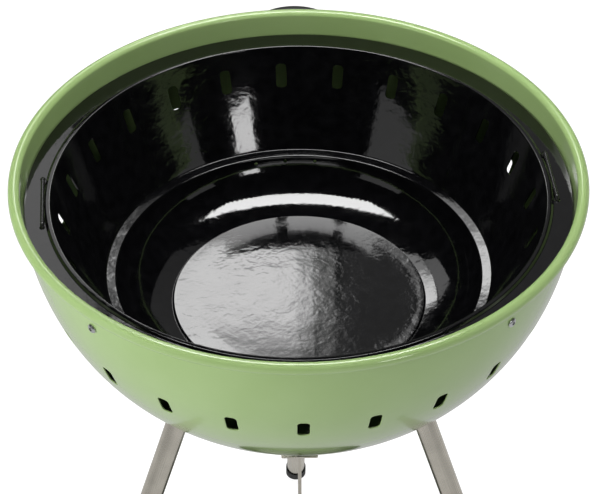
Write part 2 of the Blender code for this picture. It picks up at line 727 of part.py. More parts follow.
def make_rear_handle():
    """A half ring on two short legs that end in a saddle on the outer bowl."""
    saddle = bowl_solid("handle_saddle", GAP)
    route = [(HANDLE_RADIUS, HANDLE_CENTRE - HANDLE_RADIUS, -HANDLE_DROP)]
    for step in range(HANDLE_POINTS):
        turn = math.pi * step / (HANDLE_POINTS - 1)
        across = HANDLE_RADIUS * math.cos(turn)
        route.append((across, HANDLE_CENTRE + HANDLE_RADIUS * math.sin(turn), -HANDLE_DROP))
    route.append((-HANDLE_RADIUS, HANDLE_CENTRE - HANDLE_RADIUS, -HANDLE_DROP))
    handle = as_mesh(wire("rear_handle", route, HANDLE_THICKNESS / 2, 3))
    cut(handle, saddle)
    length = M6_STANDOFF + M6_IN_HANDLE
    section = solid_of(plain_hole(M6_RADIUS, SCREW_FIT), 0, -length - GAP)
    bore = turned("handle_bores", section, SCREW_STEPS, False, CUTTERS)
    cut(handle, cutter_group(bore, handle_places(0.0).values()))
    finish(handle, "rear_handle", PHENOLIC, 0.45)
    screw = turned("rear_handle_screw", screw_section(M6_HEAD_RADIUS, M6_HEAD_HEIGHT, M6_RADIUS, length),
                   SCREW_STEPS, False)
    for made in copies(screw, named("rear_handle_screw", handle_places(0.0))):
        finish(made, "rear_handle_screw", ZINC, 0.3, 1.0)
    section = pierced(M6_WASHER_RADIUS, plain_hole(M6_RADIUS, SCREW_FIT), 0, -M6_WASHER_HEIGHT)
    washer = turned("rear_handle_washer", section, SCREW_STEPS, True)
    for made in copies(washer, named("rear_handle_washer", handle_places(-GAP))):
        finish(made, "rear_handle_washer", ZINC, 0.35, 1.0)


# Damper, stem and ash dish

def make_damper():
    lift = -BOWL_SHEET - DAMPER_CLEARANCE - DAMPER_SHEET
    edge = bowl_drop(DAMPER_RADIUS)
    section = bowl_curve(lift, plain_hole(STEM_RADIUS, STEM_FIT), edge, DAMPER_RINGS)
    disc = turned("damper_disc", section, DAMPER_STEPS, False)
    thicken(disc, DAMPER_SHEET)
    cut(disc, vent_cutters("damper_vents"))
    finish(disc, "damper_disc", STAINLESS, 0.35, 1.0)


def make_stem():
    """A rod with one collar, which the finger bar rests on."""
    collar = -BAR_DROP - GAP
    section = [(0, -STEM_TOP), (STEM_RADIUS, -STEM_TOP), (STEM_RADIUS, collar), (COLLAR_RADIUS, collar),
               (COLLAR_RADIUS, collar - COLLAR_HEIGHT), (STEM_RADIUS, collar - COLLAR_HEIGHT),
               (STEM_RADIUS, -STEM_END), (0, -STEM_END)]
    finish(turned("damper_stem", section, SCREW_STEPS, False), "damper_stem", STAINLESS, 0.3, 1.0)
    hole = plain_hole(STEM_RADIUS, STEM_FIT)
    washer_top = -BOWL_DEPTH - GAP
    section = pierced(STEM_WASHER_RADIUS, hole, washer_top, washer_top - STEM_WASHER_HEIGHT)
    washer = turned("stem_washer", section, SCREW_STEPS, True)
    finish(washer, "stem_washer", ZINC, 0.35, 1.0)
    seats = {"damper_top_nut": -DAMPER_DROP + DAMPER_SHEET + GAP,
             "damper_lower_nut": washer_top - STEM_WASHER_HEIGHT - GAP - M4_NUT_HEIGHT,
             "finger_bar_nut": -BAR_DROP + BAR_THICKNESS + GAP,
             "dish_upper_nut": -DISH_DROP + DISH_SHEET + GAP,
             "dish_lower_nut": -DISH_DROP - GAP - M4_NUT_HEIGHT}
    nut = turned("stem_nut", nut_section(M4_NUT_FLATS, M4_NUT_HEIGHT, STEM_RADIUS, 6), 6, True)
    for made in copies(nut, {name: Matrix.Translation((0, 0, seat)) for name, seat in seats.items()}):
        finish(made, "stem_nut", ZINC, 0.35, 1.0)


def make_finger_bar():
    flat = rounded_slot("finger_bar", BAR_LENGTH, BAR_WIDTH, BAR_WIDTH / 5, BAR_THICKNESS / 2)
    bar = as_mesh(flat, location=(0, 0, -BAR_DROP + BAR_THICKNESS / 2))
    section = solid_of(plain_hole(STEM_RADIUS, STEM_FIT), CUT_DEPTH, -CUT_DEPTH)
    hole = turned("bar_hole", section, SCREW_STEPS, False, CUTTERS, location=(0, 0, -BAR_DROP))
    cut(bar, hole)
    finish(bar, "finger_bar", STAINLESS, 0.3, 1.0)


def make_ash_dish():
    floor = -DISH_DROP + DISH_SHEET
    rim = -DISH_DROP + DISH_DEPTH
    flare = (DISH_RADIUS - DISH_FLAT) / 2
    section = [(plain_hole(STEM_RADIUS, STEM_FIT), floor), (DISH_FLAT, floor),
               (DISH_FLAT + flare, floor + DISH_DEPTH / 4), (DISH_RADIUS - DISH_SHEET, rim)]
    dish = turned("ash_dish", section, DAMPER_STEPS, False)
    thicken(dish, DISH_SHEET)
    finish(dish, "ash_dish", STAINLESS, 0.4, 1.0)


make_outer_bowl()
make_fire_bowl()
make_bail_handles()
make_supports()
make_legs()
make_rear_handle()
make_damper()
make_stem()
make_finger_bar()
make_ash_dish()
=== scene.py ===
"""Looks of the kettle charcoal grill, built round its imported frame.

Everything is modelled in metres from the point where the bowl's axis passes the top of the rim,
with Z up and -Y the front, then placed on that point of the frame.
"""

import math

import bpy
from mathutils import Matrix, Vector


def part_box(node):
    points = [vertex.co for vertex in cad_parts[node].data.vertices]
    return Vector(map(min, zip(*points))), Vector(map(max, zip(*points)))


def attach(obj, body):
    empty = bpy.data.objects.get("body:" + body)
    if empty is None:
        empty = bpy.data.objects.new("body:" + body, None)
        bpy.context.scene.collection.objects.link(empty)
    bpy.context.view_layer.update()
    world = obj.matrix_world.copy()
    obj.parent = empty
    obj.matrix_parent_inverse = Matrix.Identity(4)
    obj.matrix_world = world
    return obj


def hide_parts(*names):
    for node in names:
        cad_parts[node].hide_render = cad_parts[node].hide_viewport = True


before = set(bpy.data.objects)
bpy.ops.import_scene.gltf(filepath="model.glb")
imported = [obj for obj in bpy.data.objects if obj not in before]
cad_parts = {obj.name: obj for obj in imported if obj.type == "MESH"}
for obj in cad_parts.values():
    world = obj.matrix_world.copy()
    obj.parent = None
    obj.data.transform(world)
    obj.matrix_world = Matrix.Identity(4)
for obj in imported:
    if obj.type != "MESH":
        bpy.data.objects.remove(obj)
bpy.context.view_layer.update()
RIM_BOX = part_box("outer_bowl")
AXIS = Vector(((RIM_BOX[0].x + RIM_BOX[1].x) / 2, (RIM_BOX[0].y + RIM_BOX[1].y) / 2, RIM_BOX[1].z))

# Sizes, as in the CAD model
RIM_RADIUS = 0.285
BOWL_RADIUS = 0.275
BOWL_DEPTH = 0.2766
BOWL_POWER = 2.1
SHEET = 0.0015
WALL_INSIDE = BOWL_RADIUS - SHEET
ROLL_RADIUS = (RIM_RADIUS - WALL_INSIDE) / 2
SLOTS = 24
SLOT_WIDTH = 0.0115
SLOT_LENGTH = 0.026
SLOT_CORNER = 0.004
BOWL_SLOT_DROP = 0.104
FIRE_SLOT_DROP = 0.0534
AIR_HOLE_RADIUS = 0.002
AIR_HOLE_FALL = 0.0055        # below the ledge's inner edge
AIR_HOLE_SPREAD = math.radians(10)
FIRE_TURN = math.radians(3.6)
FLANGE_DROP = 0.0259
FLANGE_RADIUS = 0.2703
BEAD_RADIUS = 0.248
BEAD_RISE = 0.0021
BEAD_INSIDE = 0.0030          # crest's edges and the outer foot, from the bead's radius
BEAD_OUTSIDE = 0.0014
BEAD_FOOT = 0.0034
MOUTH_RADIUS = 0.2415
MOUTH_DROP = 0.033
WALL_BELLY = 0.0022           # how far the upper wall bulges midway
LEDGE_RADIUS = 0.1965
LEDGE_DROP = 0.1259
LEDGE_WIDTH = 0.0105
LEDGE_FALL = 0.0014
FLOOR_DROP = 0.1675
DISC_RADIUS = 0.1288
DISC_RISE = 0.0015
DISC_LIP = 0.0012             # how far the disc's edge stands above its middle
DISC_FLAT = 0.100             # where the disc starts to rise
DISC_STEP = 0.0016            # width of the slope down from the disc's edge
LOWER_LEAN = math.radians(12)
FLOOR_SLOPE = math.radians(7)
WIRE_RADIUS = 0.002
BAIL_RADIUS = 0.2525
BAIL_LEG = 0.038
BAIL_DROP = 0.0231
BAIL_DEPTH = 0.034
BAIL_BEND = 0.0045
BAIL_FOOT = 0.010
BAIL_HOLE = 0.0030
SUPPORTS = {"front_left": -45, "front_right": 45, "rear_right": 135, "rear_left": 225}
SUPPORT_DROP = 0.0317
M5_RADIUS = 0.0025
M5_HEAD = 0.0047, 0.0028
M5_NUT = 0.008, 0.004
M5_PITCH = 0.0008
M5_DRIVE_DEPTH = 0.0017
SLEEVE_RADIUS = 0.004
SLEEVE_LENGTH = 0.018
LEGS = {"front_left": -60, "front_right": 60, "rear": 180}
LEG_SPLAY = math.radians(21.1)
LEG_SEAT_RADIUS = 0.13651
TUBE_RADIUS = 0.0115
TUBE_WALL = 0.0012
TUBE_FIT = 0.0004
SOCKET_RADIUS = 0.015
SOCKET_LENGTH = 0.028
SOCKET_WEB = 0.009
PLUG_LENGTH = 0.014
CAP_RADIUS = 0.013
CAP_LENGTH = 0.020
CAP_FLOOR = 0.008
CROSS_WIDTH = 1.15            # of the head's radius
M8_RADIUS = 0.004
M8_HEAD = 0.007, 0.0045
M8_GRIP = 0.026
M8_PITCH = 0.00125
M8_FIT = 0.0005
M8_SOCKET_FLATS = 0.005
SEAT_WASHER_RADIUS = 0.011
SEAT_WASHER_TOP = 0.0065
HANDLE_RADIUS = 0.046
HANDLE_CENTRE = 0.285
HANDLE_DROP = 0.040
HANDLE_THICKNESS = 0.018
M6_RADIUS = 0.003
M6_HEAD = 0.005, 0.003
M6_STANDOFF = 0.0065
M6_IN_HANDLE = 0.018
M6_WASHER = 0.0055, 0.001
M6_PITCH = 0.001
M6_DRIVE_DEPTH = 0.0018
VENTS = 6
VENT_RADIUS = 0.012
VENT_CIRCLE = 0.052
CENTRE_HOLE = 0.0027          # for the stem, in the outer bowl
DAMPER_RADIUS = 0.076
DAMPER_SHEET = 0.0012
DAMPER_CLEARANCE = 0.0018
DAMPER_HOLE = 0.0025
STEM_RADIUS = 0.002
STEM_FIT = 0.0004
M4_NUT = 0.007, 0.0032
M4_PITCH = 0.0007
STEM_WASHER = 0.006, 0.001
DAMPER_THREAD = 0.008         # length of thread below the outer bowl
BAR_DROP = 0.400
BAR_THREAD = 0.010            # length of thread above the finger bar
BAR_LENGTH = 0.0405
BAR_WIDTH = 0.010
BAR_THICKNESS = 0.002
COLLAR = 0.003, 0.001
DISH_RADIUS = 0.100
DISH_FLAT = 0.074
DISH_DEPTH = 0.022
DISH_DROP = 0.600
DISH_THREAD = 0.010           # length of thread above the dish
DISH_SHEET = 0.0012
FIT = 0.0003                  # between pieces that touch, and round a screw in its hole
PAST_NUT = 0.0015             # thread showing past a nut

# Fineness of the meshes
COLUMNS = 384                 # round the widest part of a bowl
SHELL_ROW = 0.008             # longest row of a turned sheet
BOWL_TURN = math.radians(11)  # most that a bowl's section turns in one row
DISC_ROW = 0.006
DISH_TURN = math.radians(6)
SHELL_EDGE = 0.0004           # rounding of cut edges
SMALL_EDGE = 0.0002
SLOT_MIDDLE = -0.0138, -0.0105, -0.0062, 0, 0.0062, 0.0105, 0.0138
BOWL_SLOT_ROWS = (-0.0175, *SLOT_MIDDLE, 0.0175)
FIRE_SLOT_ROWS = (-0.0165, *SLOT_MIDDLE, 0.0165)
VENT_ROWS = tuple(0.0044 * step for step in range(-4, 5))
AIR_HOLE_ROWS = -0.0034, -0.0017, 0, 0.0017, 0.0034
BAIL_HOLE_ROWS = -0.0032, -0.0011, 0.0011, 0.0032, 0.0052


ON_AXIS = 1e-6                # a radius smaller than this is a point on the axis


def bowl_drop(radius):
    return BOWL_DEPTH * (1 - (radius / BOWL_RADIUS) ** BOWL_POWER) ** (1 / BOWL_POWER)


def bowl_radius(drop):
    return BOWL_RADIUS * (1 - (drop / BOWL_DEPTH) ** BOWL_POWER) ** (1 / BOWL_POWER)


def bowl_wall(offset, first_radius, last_drop, steps=240):
    """Dense (radius, height) points of the outer bowl's section at an offset, from the floor up."""
    start = math.asin((bowl_drop(first_radius) / BOWL_DEPTH) ** (BOWL_POWER / 2))
    end = math.asin((last_drop / BOWL_DEPTH) ** (BOWL_POWER / 2))
    points = []
    for step in range(steps + 1):
        turn = start + (end - start) * step / steps
        radius = BOWL_RADIUS * math.cos(turn) ** (2 / BOWL_POWER)
        drop = BOWL_DEPTH * math.sin(turn) ** (2 / BOWL_POWER)
        along = radius ** (BOWL_POWER - 1) / BOWL_RADIUS ** BOWL_POWER
        down = drop ** (BOWL_POWER - 1) / BOWL_DEPTH ** BOWL_POWER
        size = math.hypot(along, down)
        points.append((radius + offset * along / size, -drop - offset * down / size))
    return points


def spaced(count):
    return [math.tau * index / count for index in range(count)]


def columns(radius):
    """Columns round a ring of this radius, halved again and again towards the axis."""
    for limit, parts in ((0.012, 16), (0.024, 8), (0.096, 4), (0.160, 2)):
        if radius < limit:
            return COLUMNS // parts
    return COLUMNS


def mesh_of(name, verts, faces):
    mesh = bpy.data.meshes.new(name)
    mesh.from_pydata(verts, [], faces)
    return mesh


def filleted(corners):
    """(radius, height) points through corners given as (radius, height, fillet)."""
    path = [corners[0][:2]]
    for before, here, after in zip(corners, corners[1:], corners[2:]):
        corner = Vector(here[:2])
        back = (Vector(before[:2]) - corner).normalized()
        on = (Vector(after[:2]) - corner).normalized()
        half = back.angle(on) / 2
        if here[2] == 0 or half > math.radians(89):
            path.append(here[:2])
            continue
        centre = corner + (back + on).normalized() * here[2] / math.sin(half)
        start = corner + back * here[2] / math.tan(half) - centre
        sweep = math.pi - 2 * half
        if start.x * (on.y - back.y) - start.y * (on.x - back.x) < 0:
            sweep = -sweep
        steps = max(3, round(abs(sweep) / math.radians(5)))
        for step in range(steps + 1):
            turn = sweep * step / steps
            path.append((centre.x + start.x * math.cos(turn) - start.y * math.sin(turn),
                         centre.y + start.x * math.sin(turn) + start.y * math.cos(turn)))
    path.append(corners[-1][:2])
    return path


class Section:
    """A section that can be asked for the point at an arc length."""

    def __init__(self, path):
        self.path = path
        self.marks = [0.0]
        for a, b in zip(path, path[1:]):
            self.marks.append(self.marks[-1] + math.dist(a, b))

    def at(self, mark):
        low, high = 0, len(self.marks) - 1
        while high - low > 1:
            middle = (low + high) // 2
            if self.marks[middle] <= mark:
                low = middle
            else:
                high = middle
        span = self.marks[high] - self.marks[low]
        share = (mark - self.marks[low]) / span
        a, b = self.path[low], self.path[high]
        return a[0] + (b[0] - a[0]) * share, a[1] + (b[1] - a[1]) * share

    def crossing(self, axis, value):
        """Arc length where the radius (axis 0) or the height (axis 1) first passes a value."""
        for index in range(1, len(self.path)):
            a, b = self.path[index - 1][axis], self.path[index][axis]
            if min(a, b) <= value <= max(a, b) and a != b:
                share = (value - a) / (b - a)
                return self.marks[index - 1] + share * (self.marks[index] - self.marks[index - 1])
        raise ValueError(f"the section never passes {value}")

    def rows(self, reach, bend, kept_clear):
        """Arc lengths for rows: one per reach of length or bend of angle, none in the clear spans."""
        rows = [0.0]
        heading = None
        for index in range(1, len(self.path)):
            a, b = self.path[index - 1], self.path[index]
            now = math.atan2(b[1] - a[1], b[0] - a[0])
            if heading is None:
                heading = now
            turned = abs(math.remainder(now - heading, math.tau))
            if turned > bend and self.marks[index - 1] - rows[-1] > 1e-5:
                rows.append(self.marks[index - 1])
                heading = now
            span = self.marks[index] - rows[-1]
            if span > reach:
                parts = math.ceil(span / reach)
                first = rows[-1]
                if self.marks[index] - self.marks[index - 1] < reach:
                    rows.append(self.marks[index])
                else:
                    rows += [first + span * part / parts for part in range(1, parts + 1)]
                heading = now
        if self.marks[-1] - rows[-1] > 1e-5:
            rows.append(self.marks[-1])
        return [row for row in rows if not any(low < row < high for low, high in kept_clear)]


class Holes:
    """Equal holes round a ring of the shell, each in its own block of the grid."""

    def __init__(self, mark, offsets, half, angles, outline, margin=0.0025):
        self.mark = mark            # arc length of the holes' centres
        self.offsets = offsets      # rows of the block, from the centre
        self.half = half            # columns each side of the centre
        self.angles = angles
        self.outline = outline
        self.clear = mark + offsets[0] - margin, mark + offsets[-1] + margin


def around(half, low, high, middle):
    """The block's edge as (column, row), anticlockwise from the right-hand middle."""
    loop = [(half, row) for row in range(middle, high)]
    loop += [(column, high) for column in range(half, -half, -1)]
    loop += [(-half, row) for row in range(high, low, -1)]
    loop += [(column, low) for column in range(-half, half)]
    loop += [(half, row) for row in range(low, middle)]
    return loop


def slot_outline(width, length, corner):
    """Round-cornered slot for an edge whose four quarters have equal numbers of points."""
    def outline(edge):
        quarter = len(edge) // 4
        first = [(width / 2, 0.0)]
        for step in range(quarter - 1):
            turn = math.pi / 2 * step / (quarter - 2)
            first.append((width / 2 - corner + corner * math.cos(turn),
                          length / 2 - corner + corner * math.sin(turn)))
        points = list(first)
        points += [(-x, y) for x, y in [(0.0, length / 2)] + first[:0:-1]]
        points += [(-x, -y) for x, y in first]
        points += [(x, -y) for x, y in [(0.0, length / 2)] + first[:0:-1]]
        return points
    return outline


def round_outline(radius):
    def outline(edge):
        points = []
        for x, y in edge:
            away = math.hypot(x, y)
            points.append((radius * x / away, radius * y / away))
        return points
    return outline


class Grid:
    """A turned sheet under construction: rows of vertices along a section, and faces between them."""

    def __init__(self, section, rows):
        self.section = section
        self.rows = rows
        self.places = [section.at(row) for row in rows]
        self.counts = [columns(radius) for radius, _ in self.places]
        self.verts, self.faces, self.first = [], [], []
        self.blocked = set()
        for (radius, height), count in zip(self.places, self.counts):
            self.first.append(len(self.verts))
            if radius < ON_AXIS:
                self.verts.append((0, 0, height))
                continue
            for column in range(count):
                self.add(math.tau * column / count, radius, height)

    def add(self, turn, radius, height):
        self.verts.append((radius * math.cos(turn), radius * math.sin(turn), height))

    def nearest(self, mark):
        return min(range(len(self.rows)), key=lambda row: abs(self.rows[row] - mark))

    def punch(self, hole, angle):
        """One hole, with a ring of faces that joins its outline to the block's edge."""
        low = self.nearest(hole.mark + hole.offsets[0])
        high = low + len(hole.offsets) - 1
        middle = min(range(low, high + 1), key=lambda row: abs(self.rows[row] - hole.mark))
        count = self.counts[middle]
        centre = angle / math.tau * count
        whole = round(centre)
        edge = around(hole.half, low, high, middle)
        for column in range(-hole.half, hole.half):
            for row in range(low, high):
                self.blocked.add((row, (whole + column) % count))
        flat = []
        for column, row in edge:
            arc = self.places[row][0] * math.tau / count
            flat.append(((column - (centre - whole)) * arc, self.rows[row] - hole.mark))
        start = len(self.verts)
        for across, along in hole.outline(flat):
            radius, height = self.section.at(hole.mark + along)
            self.add(angle + across / radius, radius, height)
        outer = [self.first[row] + (whole + column) % count for column, row in edge]
        size = len(edge)
        for index in range(size):
            after = (index + 1) % size
            self.faces.append((outer[after], outer[index], start + index, start + after))

    def weave(self, row):
        """Faces between a row and the next, which has as many columns or twice as many."""
        a, b = self.first[row], self.first[row + 1]
        count, above = self.counts[row], self.counts[row + 1]
        if self.places[row][0] < ON_AXIS:
            for column in range(above):
                self.faces.append((a, b + column, b + (column + 1) % above))
            return
        for column in range(count):
            after = (column + 1) % count
            if above != count:
                self.faces.append((a + column, b + 2 * column, b + 2 * column + 1,
                                   b + (2 * column + 2) % above, a + after))
            elif (row, column) not in self.blocked:
                self.faces.append((a + column, b + column, b + after, a + after))


def shell(name, section, reach, bend, holes=()):
    """A turned sheet with real holes, as an open mesh whose faces look at the section's left."""
    rows = section.rows(reach, bend, [hole.clear for hole in holes])
    for hole in holes:
        rows += [hole.mark + offset for offset in hole.offsets]
    grid = Grid(section, sorted(rows))
    for hole in holes:
        for angle in hole.angles:
            grid.punch(hole, angle)
    for row in range(len(rows) - 1):
        grid.weave(row)
    return mesh_of(name, grid.verts, grid.faces)


def put(name, mesh, material, body, node, place=Matrix()):
    """The mesh as a piece on a CAD body, standing for a CAD node."""
    piece = bpy.data.objects.new(name, mesh)
    bpy.context.scene.collection.objects.link(piece)
    piece.matrix_world = Matrix.Translation(AXIS) @ place
    mesh.materials.append(material)
    mesh.shade_smooth()
    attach(piece, body)
    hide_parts(node)
    return piece


def thicken(piece, sheet, edge):
    """Sheet thickness behind the faces, with softly rounded cut edges."""
    solid = piece.modifiers.new("sheet", "SOLIDIFY")
    solid.thickness = sheet
    solid.offset = -1
    solid.use_even_offset = True
    soften(piece, edge)


def soften(piece, width, segments=2):
    """Rounded sharp edges, with shading that keeps the flats flat."""
    bevel = piece.modifiers.new("edges", "BEVEL")
    bevel.width = width
    bevel.segments = segments
    bevel.limit_method = "ANGLE"
    bevel.angle_limit = math.radians(40)
    weigh = piece.modifiers.new("normals", "WEIGHTED_NORMAL")
    weigh.keep_sharp = False


def lathe(name, section, steps, closed=False):
    """A (radius, height) section turned round Z, running down its outer side.

    A radius may be a function of the turn, and a height one of the place (x, y).
    """
    verts, faces, first = [], [], []
    for radius, height in section:
        first.append(len(verts))
        for step in range(1 if radius == 0 else steps):
            turn = math.tau * step / steps
            reach = radius(turn) if callable(radius) else radius
            x, y = reach * math.cos(turn), reach * math.sin(turn)
            verts.append((x, y, height(x, y) if callable(height) else height))
    pairs = list(zip(range(len(section)), range(1, len(section))))
    if closed:
        pairs.append((len(section) - 1, 0))
    for here, below in pairs:
        a, b = first[here], first[below]
        for step in range(steps):
            after = (step + 1) % steps
            if section[here][0] == 0:
                faces.append((a, b + step, b + after))
            elif section[below][0] == 0:
                faces.append((a + step, b, a + after))
            else:
                faces.append((a + step, b + step, b + after, a + after))
    return mesh_of(name, verts, faces)


def carved(mesh, tool):
    """The mesh with the tool's shape cut out of it."""
    body = bpy.data.objects.new("carved", mesh)
    cutter = bpy.data.objects.new("cutter", tool)
    for item in (body, cutter):
        bpy.context.scene.collection.objects.link(item)
    boolean = body.modifiers.new("cut", "BOOLEAN")
    boolean.object = cutter
    boolean.solver = "EXACT"
    graph = bpy.context.evaluated_depsgraph_get()
    made = bpy.data.meshes.new_from_object(body.evaluated_get(graph))
    bpy.data.objects.remove(body)
    bpy.data.objects.remove(cutter)
    return made


def tube(name, route, outline):
    """A bar with closed ends, its outline swept along points in space."""
    verts, faces = [], []
    side = None
    size = len(outline)
    for index, here in enumerate(route):
        before = route[max(index - 1, 0)]
        after = route[min(index + 1, len(route) - 1)]
        along = (Vector(after) - Vector(before)).normalized()
        if side is None:
            side = along.orthogonal().normalized()
        side = (side - along * side.dot(along)).normalized()
        other = along.cross(side)
        for x, y in outline:
            verts.append(Vector(here) + side * x + other * y)
    for index in range(len(route) - 1):
        a, b = index * size, (index + 1) * size
        for step in range(size):
            after = (step + 1) % size
            faces.append((a + step, a + after, b + after, b + step))
    faces.append(tuple(reversed(range(size))))
    faces.append(tuple(range(len(verts) - size, len(verts))))
    return mesh_of(name, verts, faces)


def circle(radius, steps):
    return [(radius * math.cos(turn), radius * math.sin(turn)) for turn in spaced(steps)]


def heading(front_angle):
    """Turn about Z from +X to a direction in degrees from the front, towards +X."""
    return math.radians(front_angle - 90)


# Materials

class Paint:
    """Node helper round one Principled material."""

    def __init__(self, name, colour, roughness, metallic=0.0):
        self.material = bpy.data.materials.new(name)
        self.material.use_nodes = True
        self.tree = self.material.node_tree
        self.shader = self.tree.nodes["Principled BSDF"]
        self.shader.inputs["Base Color"].default_value = (*colour, 1)
        self.shader.inputs["Roughness"].default_value = roughness
        self.shader.inputs["Metallic"].default_value = metallic
        self.place = self.tree.nodes.new("ShaderNodeTexCoord").outputs["Object"]
        self.bumps = []

    def noise(self, scale, detail=2.0, stretch=(1, 1, 1), distortion=0.0):
        place = self.place
        if stretch != (1, 1, 1):
            mapping = self.tree.nodes.new("ShaderNodeMapping")
            mapping.inputs["Scale"].default_value = stretch
            self.tree.links.new(place, mapping.inputs["Vector"])
            place = mapping.outputs["Vector"]
        node = self.tree.nodes.new("ShaderNodeTexNoise")
        node.inputs["Scale"].default_value = scale
        node.inputs["Detail"].default_value = detail
        node.inputs["Distortion"].default_value = distortion
        self.tree.links.new(place, node.inputs["Vector"])
        return node.outputs["Fac"]

    def spread(self, value, low, high, out_low=0.0, out_high=1.0):
        """The value stretched from one range to another."""
        node = self.tree.nodes.new("ShaderNodeMapRange")
        node.inputs["From Min"].default_value = low
        node.inputs["From Max"].default_value = high
        node.inputs["To Min"].default_value = out_low
        node.inputs["To Max"].default_value = out_high
        self.tree.links.new(value, node.inputs["Value"])
        return node.outputs["Result"]

    def tint(self, value, dark, light):
        node = self.tree.nodes.new("ShaderNodeMix")
        node.data_type = "RGBA"
        first, second = [socket for socket in node.inputs if socket.type == "RGBA"]
        first.default_value = (*dark, 1)
        second.default_value = (*light, 1)
        mixed = next(socket for socket in node.outputs if socket.type == "RGBA")
        self.tree.links.new(value, node.inputs[0])
        self.tree.links.new(mixed, self.shader.inputs["Base Color"])

    def rough(self, value, low, high):
        self.tree.links.new(self.spread(value, 0.3, 0.7, low, high), self.shader.inputs["Roughness"])

    def coat(self, weight, roughness):
        self.shader.inputs["Coat Weight"].default_value = weight
        self.shader.inputs["Coat Roughness"].default_value = roughness

    def bump(self, value, height):
        """Relief of this height in metres, on top of any before it."""
        node = self.tree.nodes.new("ShaderNodeBump")
        node.inputs["Strength"].default_value = 1.0
        node.inputs["Distance"].default_value = height
        self.tree.links.new(value, node.inputs["Height"])
        if self.bumps:
            self.tree.links.new(self.bumps[-1].outputs["Normal"], node.inputs["Normal"])
        self.bumps.append(node)
        self.tree.links.new(node.outputs["Normal"], self.shader.inputs["Normal"])


def green_enamel():
    """Glossy light green with faint cloudiness, slow waves and a fine orange peel."""
    paint = Paint("green_enamel", (0.30, 0.43, 0.17), 0.16)
    cloud = paint.spread(paint.noise(14, 4), 0.3, 0.7)
    paint.tint(cloud, (0.290, 0.420, 0.158), (0.312, 0.442, 0.180))
    paint.rough(paint.noise(60, 3), 0.13, 0.20)
    paint.coat(0.5, 0.04)
    paint.bump(paint.noise(20, 1), 0.00025)
    paint.bump(paint.noise(330, 2), 0.000022)
    return paint.material


def black_enamel():
    """Glossy black over uneven sheet: slow waves, ripples and orange peel."""
    paint = Paint("black_enamel", (0.0025, 0.0025, 0.003), 0.07)
    cloud = paint.spread(paint.noise(90, 5), 0.35, 0.7)
    paint.tint(cloud, (0.0015, 0.0015, 0.0018), (0.0035, 0.0035, 0.004))
    paint.rough(paint.noise(45, 3), 0.05, 0.10)
    paint.coat(0.6, 0.03)
    paint.bump(paint.noise(28, 1), 0.00030)
    paint.bump(paint.noise(95, 1, distortion=0.6), 0.00013)
    paint.bump(paint.noise(260, 2), 0.00005)
    return paint.material


def satin_black(name, roughness, grain):
    """Black paint, plastic or rubber, by its roughness and the height of its grain."""
    paint = Paint(name, (0.012, 0.012, 0.012), roughness)
    mottle = paint.spread(paint.noise(300, 4), 0.3, 0.7)
    paint.tint(mottle, (0.008, 0.008, 0.008), (0.017, 0.017, 0.017))
    paint.rough(paint.noise(500, 3), roughness - 0.06, roughness + 0.08)
    paint.bump(paint.noise(1600, 3), grain)
    return paint.material


def steel(name, colour, roughness, stretch, streak):
    """Bare metal with fine brushing along the direction that is stretched least."""
    paint = Paint(name, colour, roughness, 1.0)
    lines = paint.noise(1.0, 3, stretch)
    mottle = paint.spread(paint.noise(60, 4), 0.3, 0.7)
    paint.tint(mottle, tuple(channel * 0.86 for channel in colour), colour)
    paint.rough(lines, roughness - 0.07, roughness + 0.10)
    paint.bump(lines, streak)
    return paint.material


GREEN = green_enamel()
BLACK = black_enamel()
WIRE = satin_black("black_wire", 0.22, 0.00001)
SOCKET = satin_black("black_socket", 0.42, 0.00003)
RUBBER = satin_black("black_rubber", 0.62, 0.00005)
PHENOLIC = satin_black("black_phenolic", 0.34, 0.00002)
TUBE_STEEL = steel("stainless_tube", (0.70, 0.66, 0.58), 0.24, (1500, 1500, 9), 0.00002)
SHEET_STEEL = steel("stainless_sheet", (0.62, 0.60, 0.57), 0.30, (25, 1400, 25), 0.00002)
ZINC = steel("zinc_plate", (0.66, 0.67, 0.68), 0.28, (700, 700, 700), 0.00001)


# Outer bowl

def make_outer_bowl():
    """The pressed shell: floor, wall and a rim that rolls outward through 300 degrees."""
    path = bowl_wall(-SHEET, CENTRE_HOLE, ROLL_RADIUS * 1.4)
    for step in range(51):
        turn = math.radians(180 - 6 * step)
        path.append((WALL_INSIDE + ROLL_RADIUS + ROLL_RADIUS * math.cos(turn),
                     -ROLL_RADIUS + ROLL_RADIUS * math.sin(turn)))
    section = Section(path)
    slots = Holes(section.crossing(1, -BOWL_SLOT_DROP + 0.0005), BOWL_SLOT_ROWS, 2,
                  spaced(SLOTS), slot_outline(SLOT_WIDTH, SLOT_LENGTH, SLOT_CORNER))
    vents = Holes(section.crossing(0, VENT_CIRCLE), VENT_ROWS, 5, spaced(VENTS), round_outline(VENT_RADIUS))
    mesh = shell("outer_bowl_enamel", section, SHELL_ROW, BOWL_TURN, [slots, vents])
    bowl = put("outer_bowl_enamel", mesh, GREEN, "stand", "outer_bowl")
    thicken(bowl, SHEET, SHELL_EDGE)


# Fire bowl

FIRE_PLACE = Matrix.Rotation(FIRE_TURN, 4, "Z")


def upper_wall(share):
    """Place on the wall between the ledge and the mouth, a share of the way up."""
    radius = LEDGE_RADIUS + (MOUTH_RADIUS - LEDGE_RADIUS) * share
    height = LEDGE_DROP + (MOUTH_DROP - LEDGE_DROP) * share
    return radius + WALL_BELLY * 4 * share * (1 - share), -height


